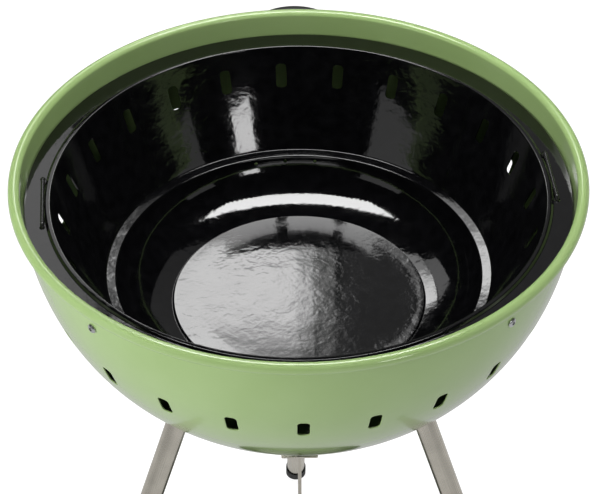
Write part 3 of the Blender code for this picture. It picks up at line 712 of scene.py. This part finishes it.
def hollow(radius, height):
    """One sweep from the edge of the disc, at this place, up to the inner edge of the ledge."""
    top_radius = LEDGE_RADIUS - LEDGE_WIDTH
    top_height = -LEDGE_DROP - LEDGE_FALL
    slope = math.tan(FLOOR_SLOPE)
    lean = math.tan(LOWER_LEAN)
    corner = (top_radius + (height - radius * slope - top_height) * lean) / (1 - slope * lean)
    corner_height = height + (corner - radius) * slope
    points = []
    steps = 24
    for step in range(steps + 1):
        share = step / steps
        low, middle, high = (1 - share) ** 2, 2 * share * (1 - share), share ** 2
        points.append((low * radius + middle * corner + high * top_radius,
                       low * height + middle * corner_height + high * top_height))
    return points


def fire_section():
    """Disc, hollow, ledge, upper wall, bead and flange, from the axis outward."""
    floor = -FLOOR_DROP
    top = floor + DISC_RISE
    corners = [(0, top, 0), (DISC_FLAT, top, 0)]
    for step in range(1, 7):
        share = step / 7
        corners.append((DISC_FLAT + (DISC_RADIUS - DISC_FLAT) * share, top + DISC_LIP * share ** 2, 0))
    corners += [(DISC_RADIUS, top + DISC_LIP, 0.0008), (DISC_RADIUS + DISC_STEP, floor, 0.0010)]
    sweep = hollow(DISC_RADIUS + DISC_STEP, floor)
    corners += [(radius, height, 0) for radius, height in sweep[1:-1]]
    corners += [(*sweep[-1], 0.0022), (*upper_wall(0), 0.0032)]
    corners += [(*upper_wall(step / 30), 0) for step in range(3, 30)]
    crest = -FLANGE_DROP + BEAD_RISE
    corners += [(*upper_wall(1), 0.004), (BEAD_RADIUS - BEAD_INSIDE, crest, 0.0016),
                (BEAD_RADIUS + BEAD_OUTSIDE, crest, 0.0016),
                (BEAD_RADIUS + BEAD_FOOT, -FLANGE_DROP, 0.0012), (FLANGE_RADIUS, -FLANGE_DROP, 0)]
    return Section(filleted(corners))


def make_fire_bowl():
    section = fire_section()
    slots = Holes(section.crossing(1, -FIRE_SLOT_DROP), FIRE_SLOT_ROWS, 2, spaced(SLOTS),
                  slot_outline(SLOT_WIDTH, SLOT_LENGTH, SLOT_CORNER), 0.001)
    air_height = -(LEDGE_DROP + LEDGE_FALL) - AIR_HOLE_FALL
    angles = [quarter + AIR_HOLE_SPREAD * step for quarter in spaced(4) for step in (-1, 0, 1)]
    air = Holes(section.crossing(1, air_height), AIR_HOLE_ROWS, 2, angles,
                round_outline(AIR_HOLE_RADIUS), 0.0005)
    away = math.hypot(BAIL_RADIUS, BAIL_LEG)
    swing = math.atan2(BAIL_LEG, BAIL_RADIUS)
    bails = Holes(section.crossing(0, away), BAIL_HOLE_ROWS, 2,
                  [side + sign * swing for side in (0, math.pi) for sign in (-1, 1)],
                  round_outline(BAIL_HOLE), 0.0002)
    mesh = shell("fire_bowl_enamel", section, SHELL_ROW, BOWL_TURN, [slots, air, bails])
    bowl = put("fire_bowl_enamel", mesh, BLACK, "fire_bowl", "fire_bowl", FIRE_PLACE)
    thicken(bowl, SHEET, SHELL_EDGE)


def make_bails():
    """Each is one bent wire: foot, leg, grip, leg, foot."""
    inside = BAIL_LEG - BAIL_BEND
    half = [(0, inside - BAIL_FOOT, -BAIL_DEPTH)]
    for height, start in ((-BAIL_DEPTH + BAIL_BEND, -90), (-BAIL_BEND, 0)):
        for step in range(10):
            turn = math.radians(start + 10 * step)
            half.append((0, inside + BAIL_BEND * math.cos(turn), height + BAIL_BEND * math.sin(turn)))
    route = half + [(x, -y, z) for x, y, z in half[::-1]]
    seat = Matrix.Translation((BAIL_RADIUS, 0, -BAIL_DROP))
    for side, turn in (("right", 0.0), ("left", math.pi)):
        name = f"bail_wire_{side}"
        mesh = tube(name, route, circle(WIRE_RADIUS, 20))
        place = FIRE_PLACE @ Matrix.Rotation(turn, 4, "Z") @ seat
        bail = put(name, mesh, WIRE, f"bail_{side}", f"bail_handle_{side}", place)
        soften(bail, 0.0005, 3)


# Fasteners

def place_at(angle, radius, height, lean=0.0):
    """Round the axis at an angle from the front, with local Z tipped outward by lean."""
    turn = Matrix.Rotation(heading(angle), 4, "Z")
    return turn @ Matrix.Translation((radius, 0, height)) @ Matrix.Rotation(lean, 4, "Y")


def to_bowl(place, offset, near):
    """Height, as a function of local (x, y), where the outer bowl's outside is met near a height."""
    def outside(point):
        across = math.hypot(point.x, point.y) / (BOWL_RADIUS + offset)
        down = max(-point.z, 0) / (BOWL_DEPTH + offset)
        return across ** BOWL_POWER + down ** BOWL_POWER > 1

    def height(x, y):
        low, high = near - 0.02, near + 0.02
        above = outside(place @ Vector((x, y, high)))
        for _ in range(30):
            middle = (low + high) / 2
            if outside(place @ Vector((x, y, middle))) == above:
                high = middle
            else:
                low = middle
        return (low + high) / 2
    return height


THREAD_DEPTH = 0.35           # of the pitch
DOME_TURN = math.radians(64)  # half angle of a screw head's dome


def threaded(radius, top, bottom, pitch):
    """Section of a thread, as ridges running down."""
    points = []
    for ridge in range(int((top - bottom) / pitch)):
        start = top - pitch * ridge
        points += [(radius, start), (radius - THREAD_DEPTH * pitch, start - pitch / 2)]
    return points + [(radius, bottom + pitch / 3), (radius - pitch / 3, bottom)]


def head_dome(radius, height):
    """Section of a low domed screw head that sits on Z = 0."""
    points = [(0, height)]
    for step in range(1, 9):
        turn = DOME_TURN * step / 8
        rise = (math.cos(turn) - math.cos(DOME_TURN)) / (1 - math.cos(DOME_TURN))
        points.append((radius * math.sin(turn) / math.sin(DOME_TURN), height * (0.35 + 0.65 * rise)))
    return points + [(radius, 0)]


def cross_recess(size, top, depth):
    """Tapered cross, as the tool that cuts a screw's drive."""
    verts, faces = [], []
    above = top + 0.001, size, size * 0.30
    bottom = top - depth, size * 0.42, size * 0.20
    for height, reach, wide in (above, bottom):
        for quarter in range(4):
            turn = Matrix.Rotation(math.pi / 2 * quarter, 3, "Z")
            for x, y in ((wide / 2, -wide / 2), (reach / 2, -wide / 2), (reach / 2, wide / 2)):
                verts.append(turn @ Vector((x, y, height)))
    for step in range(12):
        after = (step + 1) % 12
        faces.append((step, 12 + step, 12 + after, after))
    faces.append(tuple(range(12)))
    faces.append(tuple(reversed(range(12, 24))))
    return mesh_of("cross_recess", verts, faces)


def hexagon(flats):
    """Radius, as a function of the turn, of a hexagon this far across its flats."""
    def radius(turn):
        return flats / 2 / math.cos((turn + math.pi / 6) % (math.pi / 3) - math.pi / 6)
    return radius


def screw_mesh(name, head, radius, length, pitch, drive):
    """Domed head on Z = 0 and a shank below it, threaded over its last 60 %."""
    plain = -length * 0.4
    section = head_dome(*head) + [(radius, 0), (radius, plain)]
    section += threaded(radius, plain - pitch / 2, -length, pitch) + [(0, -length)]
    return carved(lathe(name, section, 32), drive)


def nut_mesh(name, flats, height, hole):
    """Hexagon nut on Z = 0 with chamfered corners and a chamfered bore."""
    side = hexagon(flats)
    round_top = flats / 2 * 1.02
    slope = math.tan(math.radians(30))

    chamfer = 0.0004

    def lower(x, y):
        return max(math.hypot(x, y) - round_top, 0) * slope

    def upper(x, y):
        return height - lower(x, y)
    section = [(hole, height - chamfer), (hole + chamfer, height), (round_top - 0.0001, height),
               (side, upper), (side, lower), (round_top - 0.0001, 0), (hole + chamfer, 0), (hole, chamfer)]
    return lathe(name, section, 48, closed=True)


def washer_mesh(name, radius, height, hole):
    """Flat washer whose top is Z = 0, with the soft edges of a stamping."""
    edge = height * 0.25
    section = [(hole, -edge), (hole + edge, 0), (radius - edge, 0), (radius, -edge),
               (radius, -height + edge), (radius - edge, -height), (hole + edge, -height),
               (hole, -height + edge)]
    return lathe(name, section, 40, closed=True)


def place_piece(node, mesh, body, place=Matrix(), edge=SMALL_EDGE, material=ZINC):
    piece = put(f"{node}_fine", mesh.copy(), material, body, node, place)
    soften(piece, edge)


def place_set(kind, mesh, places, edge=SMALL_EDGE, material=ZINC):
    """A piece for each CAD node kind_name on the stand, each with its own copy of the mesh."""
    for name, place in places.items():
        place_piece(f"{kind}_{name}", mesh, "stand", place, edge, material)


# Supports of the fire bowl

def make_supports():
    """Four screws through the wall, each with a sleeve that the flange lies on, and a nut."""
    lean = math.pi / 2
    wall = bowl_radius(SUPPORT_DROP)
    hole = M5_RADIUS + FIT
    seat = wall + FIT
    nut_seat = wall - SLEEVE_LENGTH - FIT - M5_NUT[1]
    at_wall, at_seat, at_nut = {}, {}, {}
    for name, angle in SUPPORTS.items():
        at_wall[name] = place_at(angle, wall, -SUPPORT_DROP, lean)
        at_seat[name] = place_at(angle, seat, -SUPPORT_DROP, lean)
        at_nut[name] = place_at(angle, nut_seat, -SUPPORT_DROP, lean) @ Matrix.Rotation(math.pi / 6, 4, "Z")
    face = to_bowl(at_wall["front_left"], -SHEET - FIT, 0)
    section = [(hole, face), (SLEEVE_RADIUS, face), (SLEEVE_RADIUS, -SLEEVE_LENGTH), (hole, -SLEEVE_LENGTH)]
    sleeve = lathe("support_sleeve", section, 32, closed=True)
    place_set("support_sleeve", sleeve, at_wall)
    drive = cross_recess(M5_HEAD[0] * CROSS_WIDTH, M5_HEAD[1], M5_DRIVE_DEPTH)
    length = seat - nut_seat + PAST_NUT
    screw = screw_mesh("support_screw", M5_HEAD, M5_RADIUS, length, M5_PITCH, drive)
    place_set("support_screw", screw, at_seat)
    place_set("support_nut", nut_mesh("support_nut", *M5_NUT, hole), at_nut)


# Legs

def tube_section(top, end):
    steps = 12
    section = [(TUBE_RADIUS - TUBE_WALL, top), (TUBE_RADIUS, top)]
    section += [(TUBE_RADIUS, top + (end - top) * step / steps) for step in range(1, steps + 1)]
    return section + [(TUBE_RADIUS - TUBE_WALL, end)]


def socket_section(hole, bore, saddle):
    """Collar over the tube's end, with a web inside and a saddle against the bowl on top."""
    section = [(hole + (SOCKET_RADIUS - hole) * step / 4, saddle) for step in range(5)]
    return section + [(SOCKET_RADIUS, -SOCKET_LENGTH), (bore, -SOCKET_LENGTH), (bore, -SOCKET_WEB),
                      (hole, -SOCKET_WEB)]


def cap_section(bore, seat, top, floor):
    return [(0, seat), (bore, seat), (bore, top), (CAP_RADIUS, top), (CAP_RADIUS, floor),
            (CAP_RADIUS * 0.5, floor), (0, floor)]


def seat_washer_section(hole, saddle):
    """Thick washer inside the bowl, flat on top and shaped to the wall underneath."""
    section = [(hole, SEAT_WASHER_TOP), (SEAT_WASHER_RADIUS, SEAT_WASHER_TOP)]
    return section + [(SEAT_WASHER_RADIUS + (hole - SEAT_WASHER_RADIUS) * step / 3, saddle)
                      for step in range(4)]


def make_legs():
    """Tube, socket, plug, foot cap, washer and bolt, each on the leg's own axis."""
    seat_drop = bowl_drop(LEG_SEAT_RADIUS)
    run = (AXIS.z - seat_drop) / math.cos(LEG_SPLAY)
    places = {}
    for name, angle in LEGS.items():
        places[name] = place_at(angle, LEG_SEAT_RADIUS, -seat_drop, -LEG_SPLAY)
    rear = places["rear"]
    bore = TUBE_RADIUS + TUBE_FIT
    hole = M8_RADIUS + M8_FIT
    plug = TUBE_RADIUS - TUBE_WALL - TUBE_FIT
    tube_top = -SOCKET_WEB - FIT
    tube_end = CAP_FLOOR - run
    plug_end = tube_top - PLUG_LENGTH

    def on_floor(x, y):
        row = rear[2]
        return (-AXIS.z - row[0] * x - row[1] * y - row[3]) / row[2]

    tube_mesh = lathe("leg_tube", tube_section(tube_top, tube_end), 64, closed=True)
    place_set("leg_tube", tube_mesh, places, 0.0003, TUBE_STEEL)
    section = socket_section(hole, bore, to_bowl(rear, FIT, 0))
    socket = lathe("leg_socket", section, 64, closed=True)
    place_set("leg_socket", socket, places, 0.0006, SOCKET)
    section = [(hole, tube_top), (plug, tube_top), (plug, plug_end), (hole, plug_end)]
    place_set("leg_plug", lathe("leg_plug", section, 48, closed=True), places)
    cap = lathe("foot_cap", cap_section(bore, tube_end - FIT, CAP_LENGTH - run, on_floor), 64)
    place_set("foot_cap", cap, places, 0.0007, RUBBER)
    section = seat_washer_section(hole, to_bowl(rear, -SHEET - FIT, 0))
    washer = lathe("leg_washer", section, 48, closed=True)
    place_set("leg_washer", washer, places, 0.0004)
    side = hexagon(M8_SOCKET_FLATS)
    drive = lathe("hexagon_socket", [(0, 0.006), (side, 0.006), (side, 0.002), (0, 0.001)], 48)
    head = Matrix.Translation((0, 0, SEAT_WASHER_TOP + FIT))
    bolt = screw_mesh("leg_bolt", M8_HEAD, M8_RADIUS, M8_GRIP, M8_PITCH, drive)
    place_set("leg_bolt", bolt, {name: place @ head for name, place in places.items()})


# Rear handle

def make_rear_handle():
    """A half ring on two short legs whose ends are shaped to the outer bowl."""
    start = HANDLE_CENTRE - HANDLE_RADIUS
    middle = Matrix.Translation((0, 0, -HANDLE_DROP))
    route = [(HANDLE_RADIUS, start, 0)]
    for step in range(41):
        turn = math.pi * step / 40
        route.append((HANDLE_RADIUS * math.cos(turn), HANDLE_CENTRE + HANDLE_RADIUS * math.sin(turn), 0))
    route.append((-HANDLE_RADIUS, start, 0))
    outline = circle(HANDLE_THICKNESS / 2, 40)
    mesh = tube("rear_handle", route, outline)
    upright = middle @ Matrix.Rotation(-math.pi / 2, 4, "X")
    wall = to_bowl(upright, FIT, bowl_radius(HANDLE_DROP))
    for corner in mesh.vertices[:len(outline)] + mesh.vertices[-len(outline):]:
        corner.co.y = wall(corner.co.x, -corner.co.z)
    handle = put("rear_handle_fine", mesh, PHENOLIC, "stand", "rear_handle", middle)
    soften(handle, 0.001, 3)
    drive = cross_recess(M6_HEAD[0] * CROSS_WIDTH, M6_HEAD[1], M6_DRIVE_DEPTH)
    length = M6_STANDOFF + M6_IN_HANDLE
    screw = screw_mesh("rear_handle_screw", M6_HEAD, M6_RADIUS, length, M6_PITCH, drive)
    washer = washer_mesh("rear_handle_washer", *M6_WASHER, M6_RADIUS + FIT)
    seat = math.sqrt(bowl_radius(HANDLE_DROP) ** 2 - HANDLE_RADIUS ** 2) - M6_STANDOFF
    turn = Matrix.Rotation(math.pi / 2, 4, "X")
    for name, side in (("left", -1), ("right", 1)):
        at = Matrix.Translation((side * HANDLE_RADIUS, seat, -HANDLE_DROP)) @ turn
        place_set("rear_handle_screw", screw, {name: at})
        below = Matrix.Translation((side * HANDLE_RADIUS, seat + FIT, -HANDLE_DROP)) @ turn
        place_set("rear_handle_washer", washer, {name: below})


# Damper, its stem and the ash dish

def make_damper():
    """A thin disc that follows the floor of the outer bowl and covers or clears its vents."""
    lift = -SHEET - DAMPER_CLEARANCE - DAMPER_SHEET
    section = Section(bowl_wall(lift, DAMPER_HOLE, bowl_drop(DAMPER_RADIUS), 60))
    vents = Holes(section.crossing(0, VENT_CIRCLE), VENT_ROWS, 5, spaced(VENTS), round_outline(VENT_RADIUS))
    mesh = shell("damper_disc", section, DISC_ROW, DISH_TURN, [vents])
    disc = put("damper_disc_fine", mesh, SHEET_STEEL, "damper", "damper_disc")
    thicken(disc, DAMPER_SHEET, 0.0003)


def stem_section(top, washer_top, collar, end):
    """Threads where the nuts sit, plain rod between, and a collar that carries the finger bar."""
    bar_thread = -BAR_DROP + BAR_THREAD
    dish_thread = -DISH_DROP + DISH_THREAD
    run_out = 0.0005
    section = [(0, top), (STEM_RADIUS - M4_PITCH / 3, top)]
    section += threaded(STEM_RADIUS, top - M4_PITCH / 3, washer_top - DAMPER_THREAD, M4_PITCH)
    section += [(STEM_RADIUS, washer_top - DAMPER_THREAD - run_out), (STEM_RADIUS, bar_thread)]
    section += threaded(STEM_RADIUS, bar_thread - run_out, collar + 0.0003, M4_PITCH)
    section += [(STEM_RADIUS, collar), (COLLAR[0], collar), (COLLAR[0], collar - COLLAR[1]),
                (STEM_RADIUS, collar - COLLAR[1])]
    section += [(STEM_RADIUS, collar + (dish_thread - collar) * step / 8) for step in range(1, 9)]
    return section + threaded(STEM_RADIUS, dish_thread - run_out, end, M4_PITCH) + [(0, end)]


def make_stem():
    """The damper's rod with its washer and its five nuts."""
    nut = M4_NUT[1]
    damper_seat = -(BOWL_DEPTH - SHEET - DAMPER_CLEARANCE) + DAMPER_SHEET + FIT
    washer_top = -BOWL_DEPTH - FIT
    dish_low = -DISH_DROP - FIT - nut
    section = stem_section(damper_seat + nut + PAST_NUT, washer_top, -BAR_DROP - FIT, dish_low - PAST_NUT)
    place_piece("damper_stem", lathe("damper_stem", section, 32), "damper",
                edge=0.00008, material=TUBE_STEEL)
    washer = washer_mesh("stem_washer", *STEM_WASHER, STEM_RADIUS + STEM_FIT)
    place_piece("stem_washer", washer, "damper",
                Matrix.Translation((0, 0, washer_top)), 0.0001)
    seats = {"damper_top_nut": damper_seat,
             "damper_lower_nut": washer_top - STEM_WASHER[1] - FIT - nut,
             "finger_bar_nut": -BAR_DROP + BAR_THICKNESS + FIT,
             "dish_upper_nut": -DISH_DROP + DISH_SHEET + FIT,
             "dish_lower_nut": dish_low}
    mesh = nut_mesh("stem_nut", *M4_NUT, STEM_RADIUS + FIT)
    for name, seat in seats.items():
        place_piece(name, mesh, "damper", Matrix.Translation((0, 0, seat)))


def make_finger_bar():
    """A stamped flat bar with round corners and a hole for the stem."""
    steps = 64
    quarter = steps // 4
    corner = BAR_WIDTH / 5
    loop = []
    for side_x, side_y, start in ((1, 1, 0), (-1, 1, 90), (-1, -1, 180), (1, -1, 270)):
        for step in range(quarter):
            turn = math.radians(start + 90 * step / (quarter - 1))
            loop.append((side_x * (BAR_LENGTH / 2 - corner) + corner * math.cos(turn),
                         side_y * (BAR_WIDTH / 2 - corner) + corner * math.sin(turn)))
    hole = round_outline(STEM_RADIUS + STEM_FIT)(loop)
    verts, faces = [], []
    for ring, height in ((hole, BAR_THICKNESS), (loop, BAR_THICKNESS), (loop, 0.0), (hole, 0.0)):
        verts += [(x, y, height) for x, y in ring]
    for row in range(4):
        below = (row + 1) % 4
        for step in range(steps):
            after = (step + 1) % steps
            faces.append((row * steps + step, below * steps + step, below * steps + after,
                          row * steps + after))
    mesh = mesh_of("finger_bar", verts, faces)
    place = Matrix.Translation((0, 0, -BAR_DROP))
    bar = put("finger_bar_fine", mesh, TUBE_STEEL, "damper", "finger_bar", place)
    soften(bar, 0.0003, 3)


def make_ash_dish():
    """A shallow spun dish whose wall curves up and flares out."""
    floor = -DISH_DROP + DISH_SHEET
    rim = -DISH_DROP + DISH_DEPTH
    flare = (DISH_RADIUS - DISH_FLAT) / 2
    path = filleted([(STEM_RADIUS + STEM_FIT, floor, 0), (DISH_FLAT, floor, 0.02),
                     (DISH_FLAT + flare, floor + DISH_DEPTH / 4, 0.012),
                     (DISH_RADIUS - DISH_SHEET, rim, 0)])
    mesh = shell("ash_dish", Section(path), SHELL_ROW, DISH_TURN)
    dish = put("ash_dish_fine", mesh, SHEET_STEEL, "damper", "ash_dish")
    thicken(dish, DISH_SHEET, 0.0003)


# Camera, lights and floor

SENSOR = 36
LENS = 129.17
CAMERA_TURN = math.radians(-0.9)        # from straight in front of the grill
CAMERA_ELEVATION = math.radians(40.088)
CAMERA_ROLL = math.radians(0.212)
CAMERA_PLACE = 7.4239, 0.0044, -0.2689  # back, right and up, in rim radii
FLOOR_COLOUR = 0.35, 0.35, 0.35
FLOOR_SHINE = 0.85                      # its own light
FLOOR_GLOW = 0.58                       # floor as glossy surfaces mirror it
AMBIENT_BELOW = 0.85
AMBIENT_ABOVE = 0.10
BACKDROP = 1.0
PANEL_MIDDLE = Vector((0, 1.6, 1.2))
PANEL_LEAN = math.radians(39)
PANEL_RADIANCE = 6.4
PANEL_ROWS = (-0.11, -0.06, 0.28), (-0.06, 0.09, 1.0), (0.09, 0.14, 0.62), (0.14, 0.30, 0.30)
PANEL_COLUMNS = (-0.34, 0.020, 1.0), (0.020, 0.052, 0.66), (0.052, 0.095, 0.20)


def make_camera():
    """About 2.1 m away and 40 degrees above the horizon, a little to the left of the front."""
    turn = Matrix.Rotation(CAMERA_TURN, 3, "Z")
    back = turn @ Vector((0, -math.cos(CAMERA_ELEVATION), math.sin(CAMERA_ELEVATION)))
    up = turn @ Vector((0, math.sin(CAMERA_ELEVATION), math.cos(CAMERA_ELEVATION)))
    right = turn @ Vector((1, 0, 0))
    place = AXIS + RIM_RADIUS * (CAMERA_PLACE[0] * back + CAMERA_PLACE[1] * right + CAMERA_PLACE[2] * up)
    across = right * math.cos(CAMERA_ROLL) - up * math.sin(CAMERA_ROLL)
    upward = right * math.sin(CAMERA_ROLL) + up * math.cos(CAMERA_ROLL)
    data = bpy.data.cameras.new("camera")
    data.sensor_width = SENSOR
    data.lens = LENS
    data.clip_end = 60
    camera = bpy.data.objects.new("camera", data)
    bpy.context.scene.collection.objects.link(camera)
    camera.matrix_world = Matrix((
        (across.x, upward.x, back.x, place.x),
        (across.y, upward.y, back.y, place.y),
        (across.z, upward.z, back.z, place.z),
        (0, 0, 0, 1)))
    bpy.context.scene.camera = camera


def softbox(name, place, size, radiance, target=(0, 0, 0), mirrored=True):
    """A panel that shines at a target, both placed from the middle of the rim."""
    data = bpy.data.lights.new(name, "AREA")
    data.shape = "RECTANGLE"
    data.size, data.size_y = size
    data.energy = radiance * math.pi * size[0] * size[1]
    lamp = bpy.data.objects.new(name, data)
    bpy.context.scene.collection.objects.link(lamp)
    lamp.location = AXIS + Vector(place)
    lamp.rotation_euler = (Vector(target) - Vector(place)).to_track_quat("-Z", "Y").to_euler()
    lamp.visible_glossy = mirrored


def make_floor():
    """A pale floor, bright enough of itself to stay even under the grill."""
    mesh = mesh_of("floor", [(-20, -20, 0), (20, -20, 0), (20, 20, 0), (-20, 20, 0)], [(0, 1, 2, 3)])
    floor = bpy.data.objects.new("floor", mesh)
    bpy.context.scene.collection.objects.link(floor)
    floor.visible_diffuse = False
    floor.visible_glossy = False
    paint = Paint("floor", FLOOR_COLOUR, 0.9)
    paint.shader.inputs["Specular IOR Level"].default_value = 0.0
    paint.shader.inputs["Emission Color"].default_value = (1, 1, 1, 1)
    paint.shader.inputs["Emission Strength"].default_value = FLOOR_SHINE
    mesh.materials.append(paint.material)


def faded(tree, height, span, below, above):
    """Strength that goes from one value to another between two heights of the sky."""
    node = tree.nodes.new("ShaderNodeMapRange")
    node.inputs["From Min"].default_value, node.inputs["From Max"].default_value = span
    node.inputs["To Min"].default_value = below
    node.inputs["To Max"].default_value = above
    tree.links.new(height, node.inputs["Value"])
    return node.outputs["Result"]


def make_world():
    """Soft light, mostly from below. Glossy surfaces mirror only its lower half, as in a dark studio."""
    world = bpy.data.worlds.new("world")
    bpy.context.scene.world = world
    world.use_nodes = True
    tree = world.node_tree
    background = tree.nodes["Background"]
    background.inputs["Color"].default_value = (1, 1, 1, 1)
    ray = tree.nodes.new("ShaderNodeLightPath")
    direction = tree.nodes.new("ShaderNodeTexCoord")
    split = tree.nodes.new("ShaderNodeSeparateXYZ")
    tree.links.new(direction.outputs["Generated"], split.inputs["Vector"])
    strength = tree.nodes.new("ShaderNodeMix")
    tree.links.new(ray.outputs["Is Glossy Ray"], strength.inputs["Factor"])
    soft = faded(tree, split.outputs["Z"], (-0.25, 0.15), AMBIENT_BELOW, AMBIENT_ABOVE)
    tree.links.new(soft, strength.inputs["A"])
    mirrored = faded(tree, split.outputs["Z"], (-0.25, 0.02), FLOOR_GLOW, 0.0)
    tree.links.new(mirrored, strength.inputs["B"])
    seen = tree.nodes.new("ShaderNodeMix")
    seen.inputs["B"].default_value = BACKDROP
    tree.links.new(ray.outputs["Is Camera Ray"], seen.inputs["Factor"])
    tree.links.new(strength.outputs["Result"], seen.inputs["A"])
    tree.links.new(seen.outputs["Result"], background.inputs["Strength"])


def soft_panel():
    """Mirrored in the floor of the fire bowl: even in its middle, fading to its right, top and bottom."""
    rise = Vector((0, -math.sin(PANEL_LEAN), math.cos(PANEL_LEAN)))
    facing = Vector((0, -math.cos(PANEL_LEAN), -math.sin(PANEL_LEAN)))
    for row, (low, high, row_share) in enumerate(PANEL_ROWS):
        for column, (left, right, share) in enumerate(PANEL_COLUMNS):
            middle = PANEL_MIDDLE + Vector(((left + right) / 2, 0, 0)) + rise * (low + high) / 2
            softbox(f"panel_{row}_{column}", middle, (right - left, high - low),
                    PANEL_RADIANCE * row_share * share, middle + facing)


def make_studio():
    """Panels that the enamel mirrors, then broad lamps that it doesn't."""
    bpy.context.scene.view_settings.view_transform = "Standard"
    make_floor()
    make_world()
    softbox("overhead", (0, 0.40, 1.3), (1.0, 0.42), 12.0, (0, 0.40, 0))
    soft_panel()
    softbox("flange_panel", (-0.62, 1.6, 1.35), (0.45, 0.42), 1.0, (-0.3, 0, 0))
    softbox("disc_fill", (0.36, 1.6, 1.2), (0.5, 0.8), 0.18, (0.1, 0, -0.1))
    softbox("strip", (0.62, -1.08, 0.39), (0.235, 0.20), 7.8)
    softbox("front_left", (-1.05, -0.70, 0.40), (0.65, 0.4), 0.5)
    softbox("front_right", (1.25, -0.55, 0.40), (0.5, 0.4), 0.4)
    softbox("sky", (0, 0, 2.2), (2.4, 2.4), 1.1, mirrored=False)
    softbox("key", (-1.9, -0.9, 0.3), (1.6, 1.6), 4.4, (0, 0, -0.2), mirrored=False)
    softbox("fill_right", (1.9, -0.3, 1.2), (1.2, 1.2), 2.6, (0, 0, -0.1), mirrored=False)
    softbox("low_left", (-1.0, -1.6, -0.25), (2.0, 0.9), 1.2, (0, 0, -0.2), mirrored=False)


make_outer_bowl()
make_fire_bowl()
make_bails()
make_supports()
make_legs()
make_rear_handle()
make_damper()
make_stem()
make_finger_bar()
make_ash_dish()
make_camera()
make_studio()
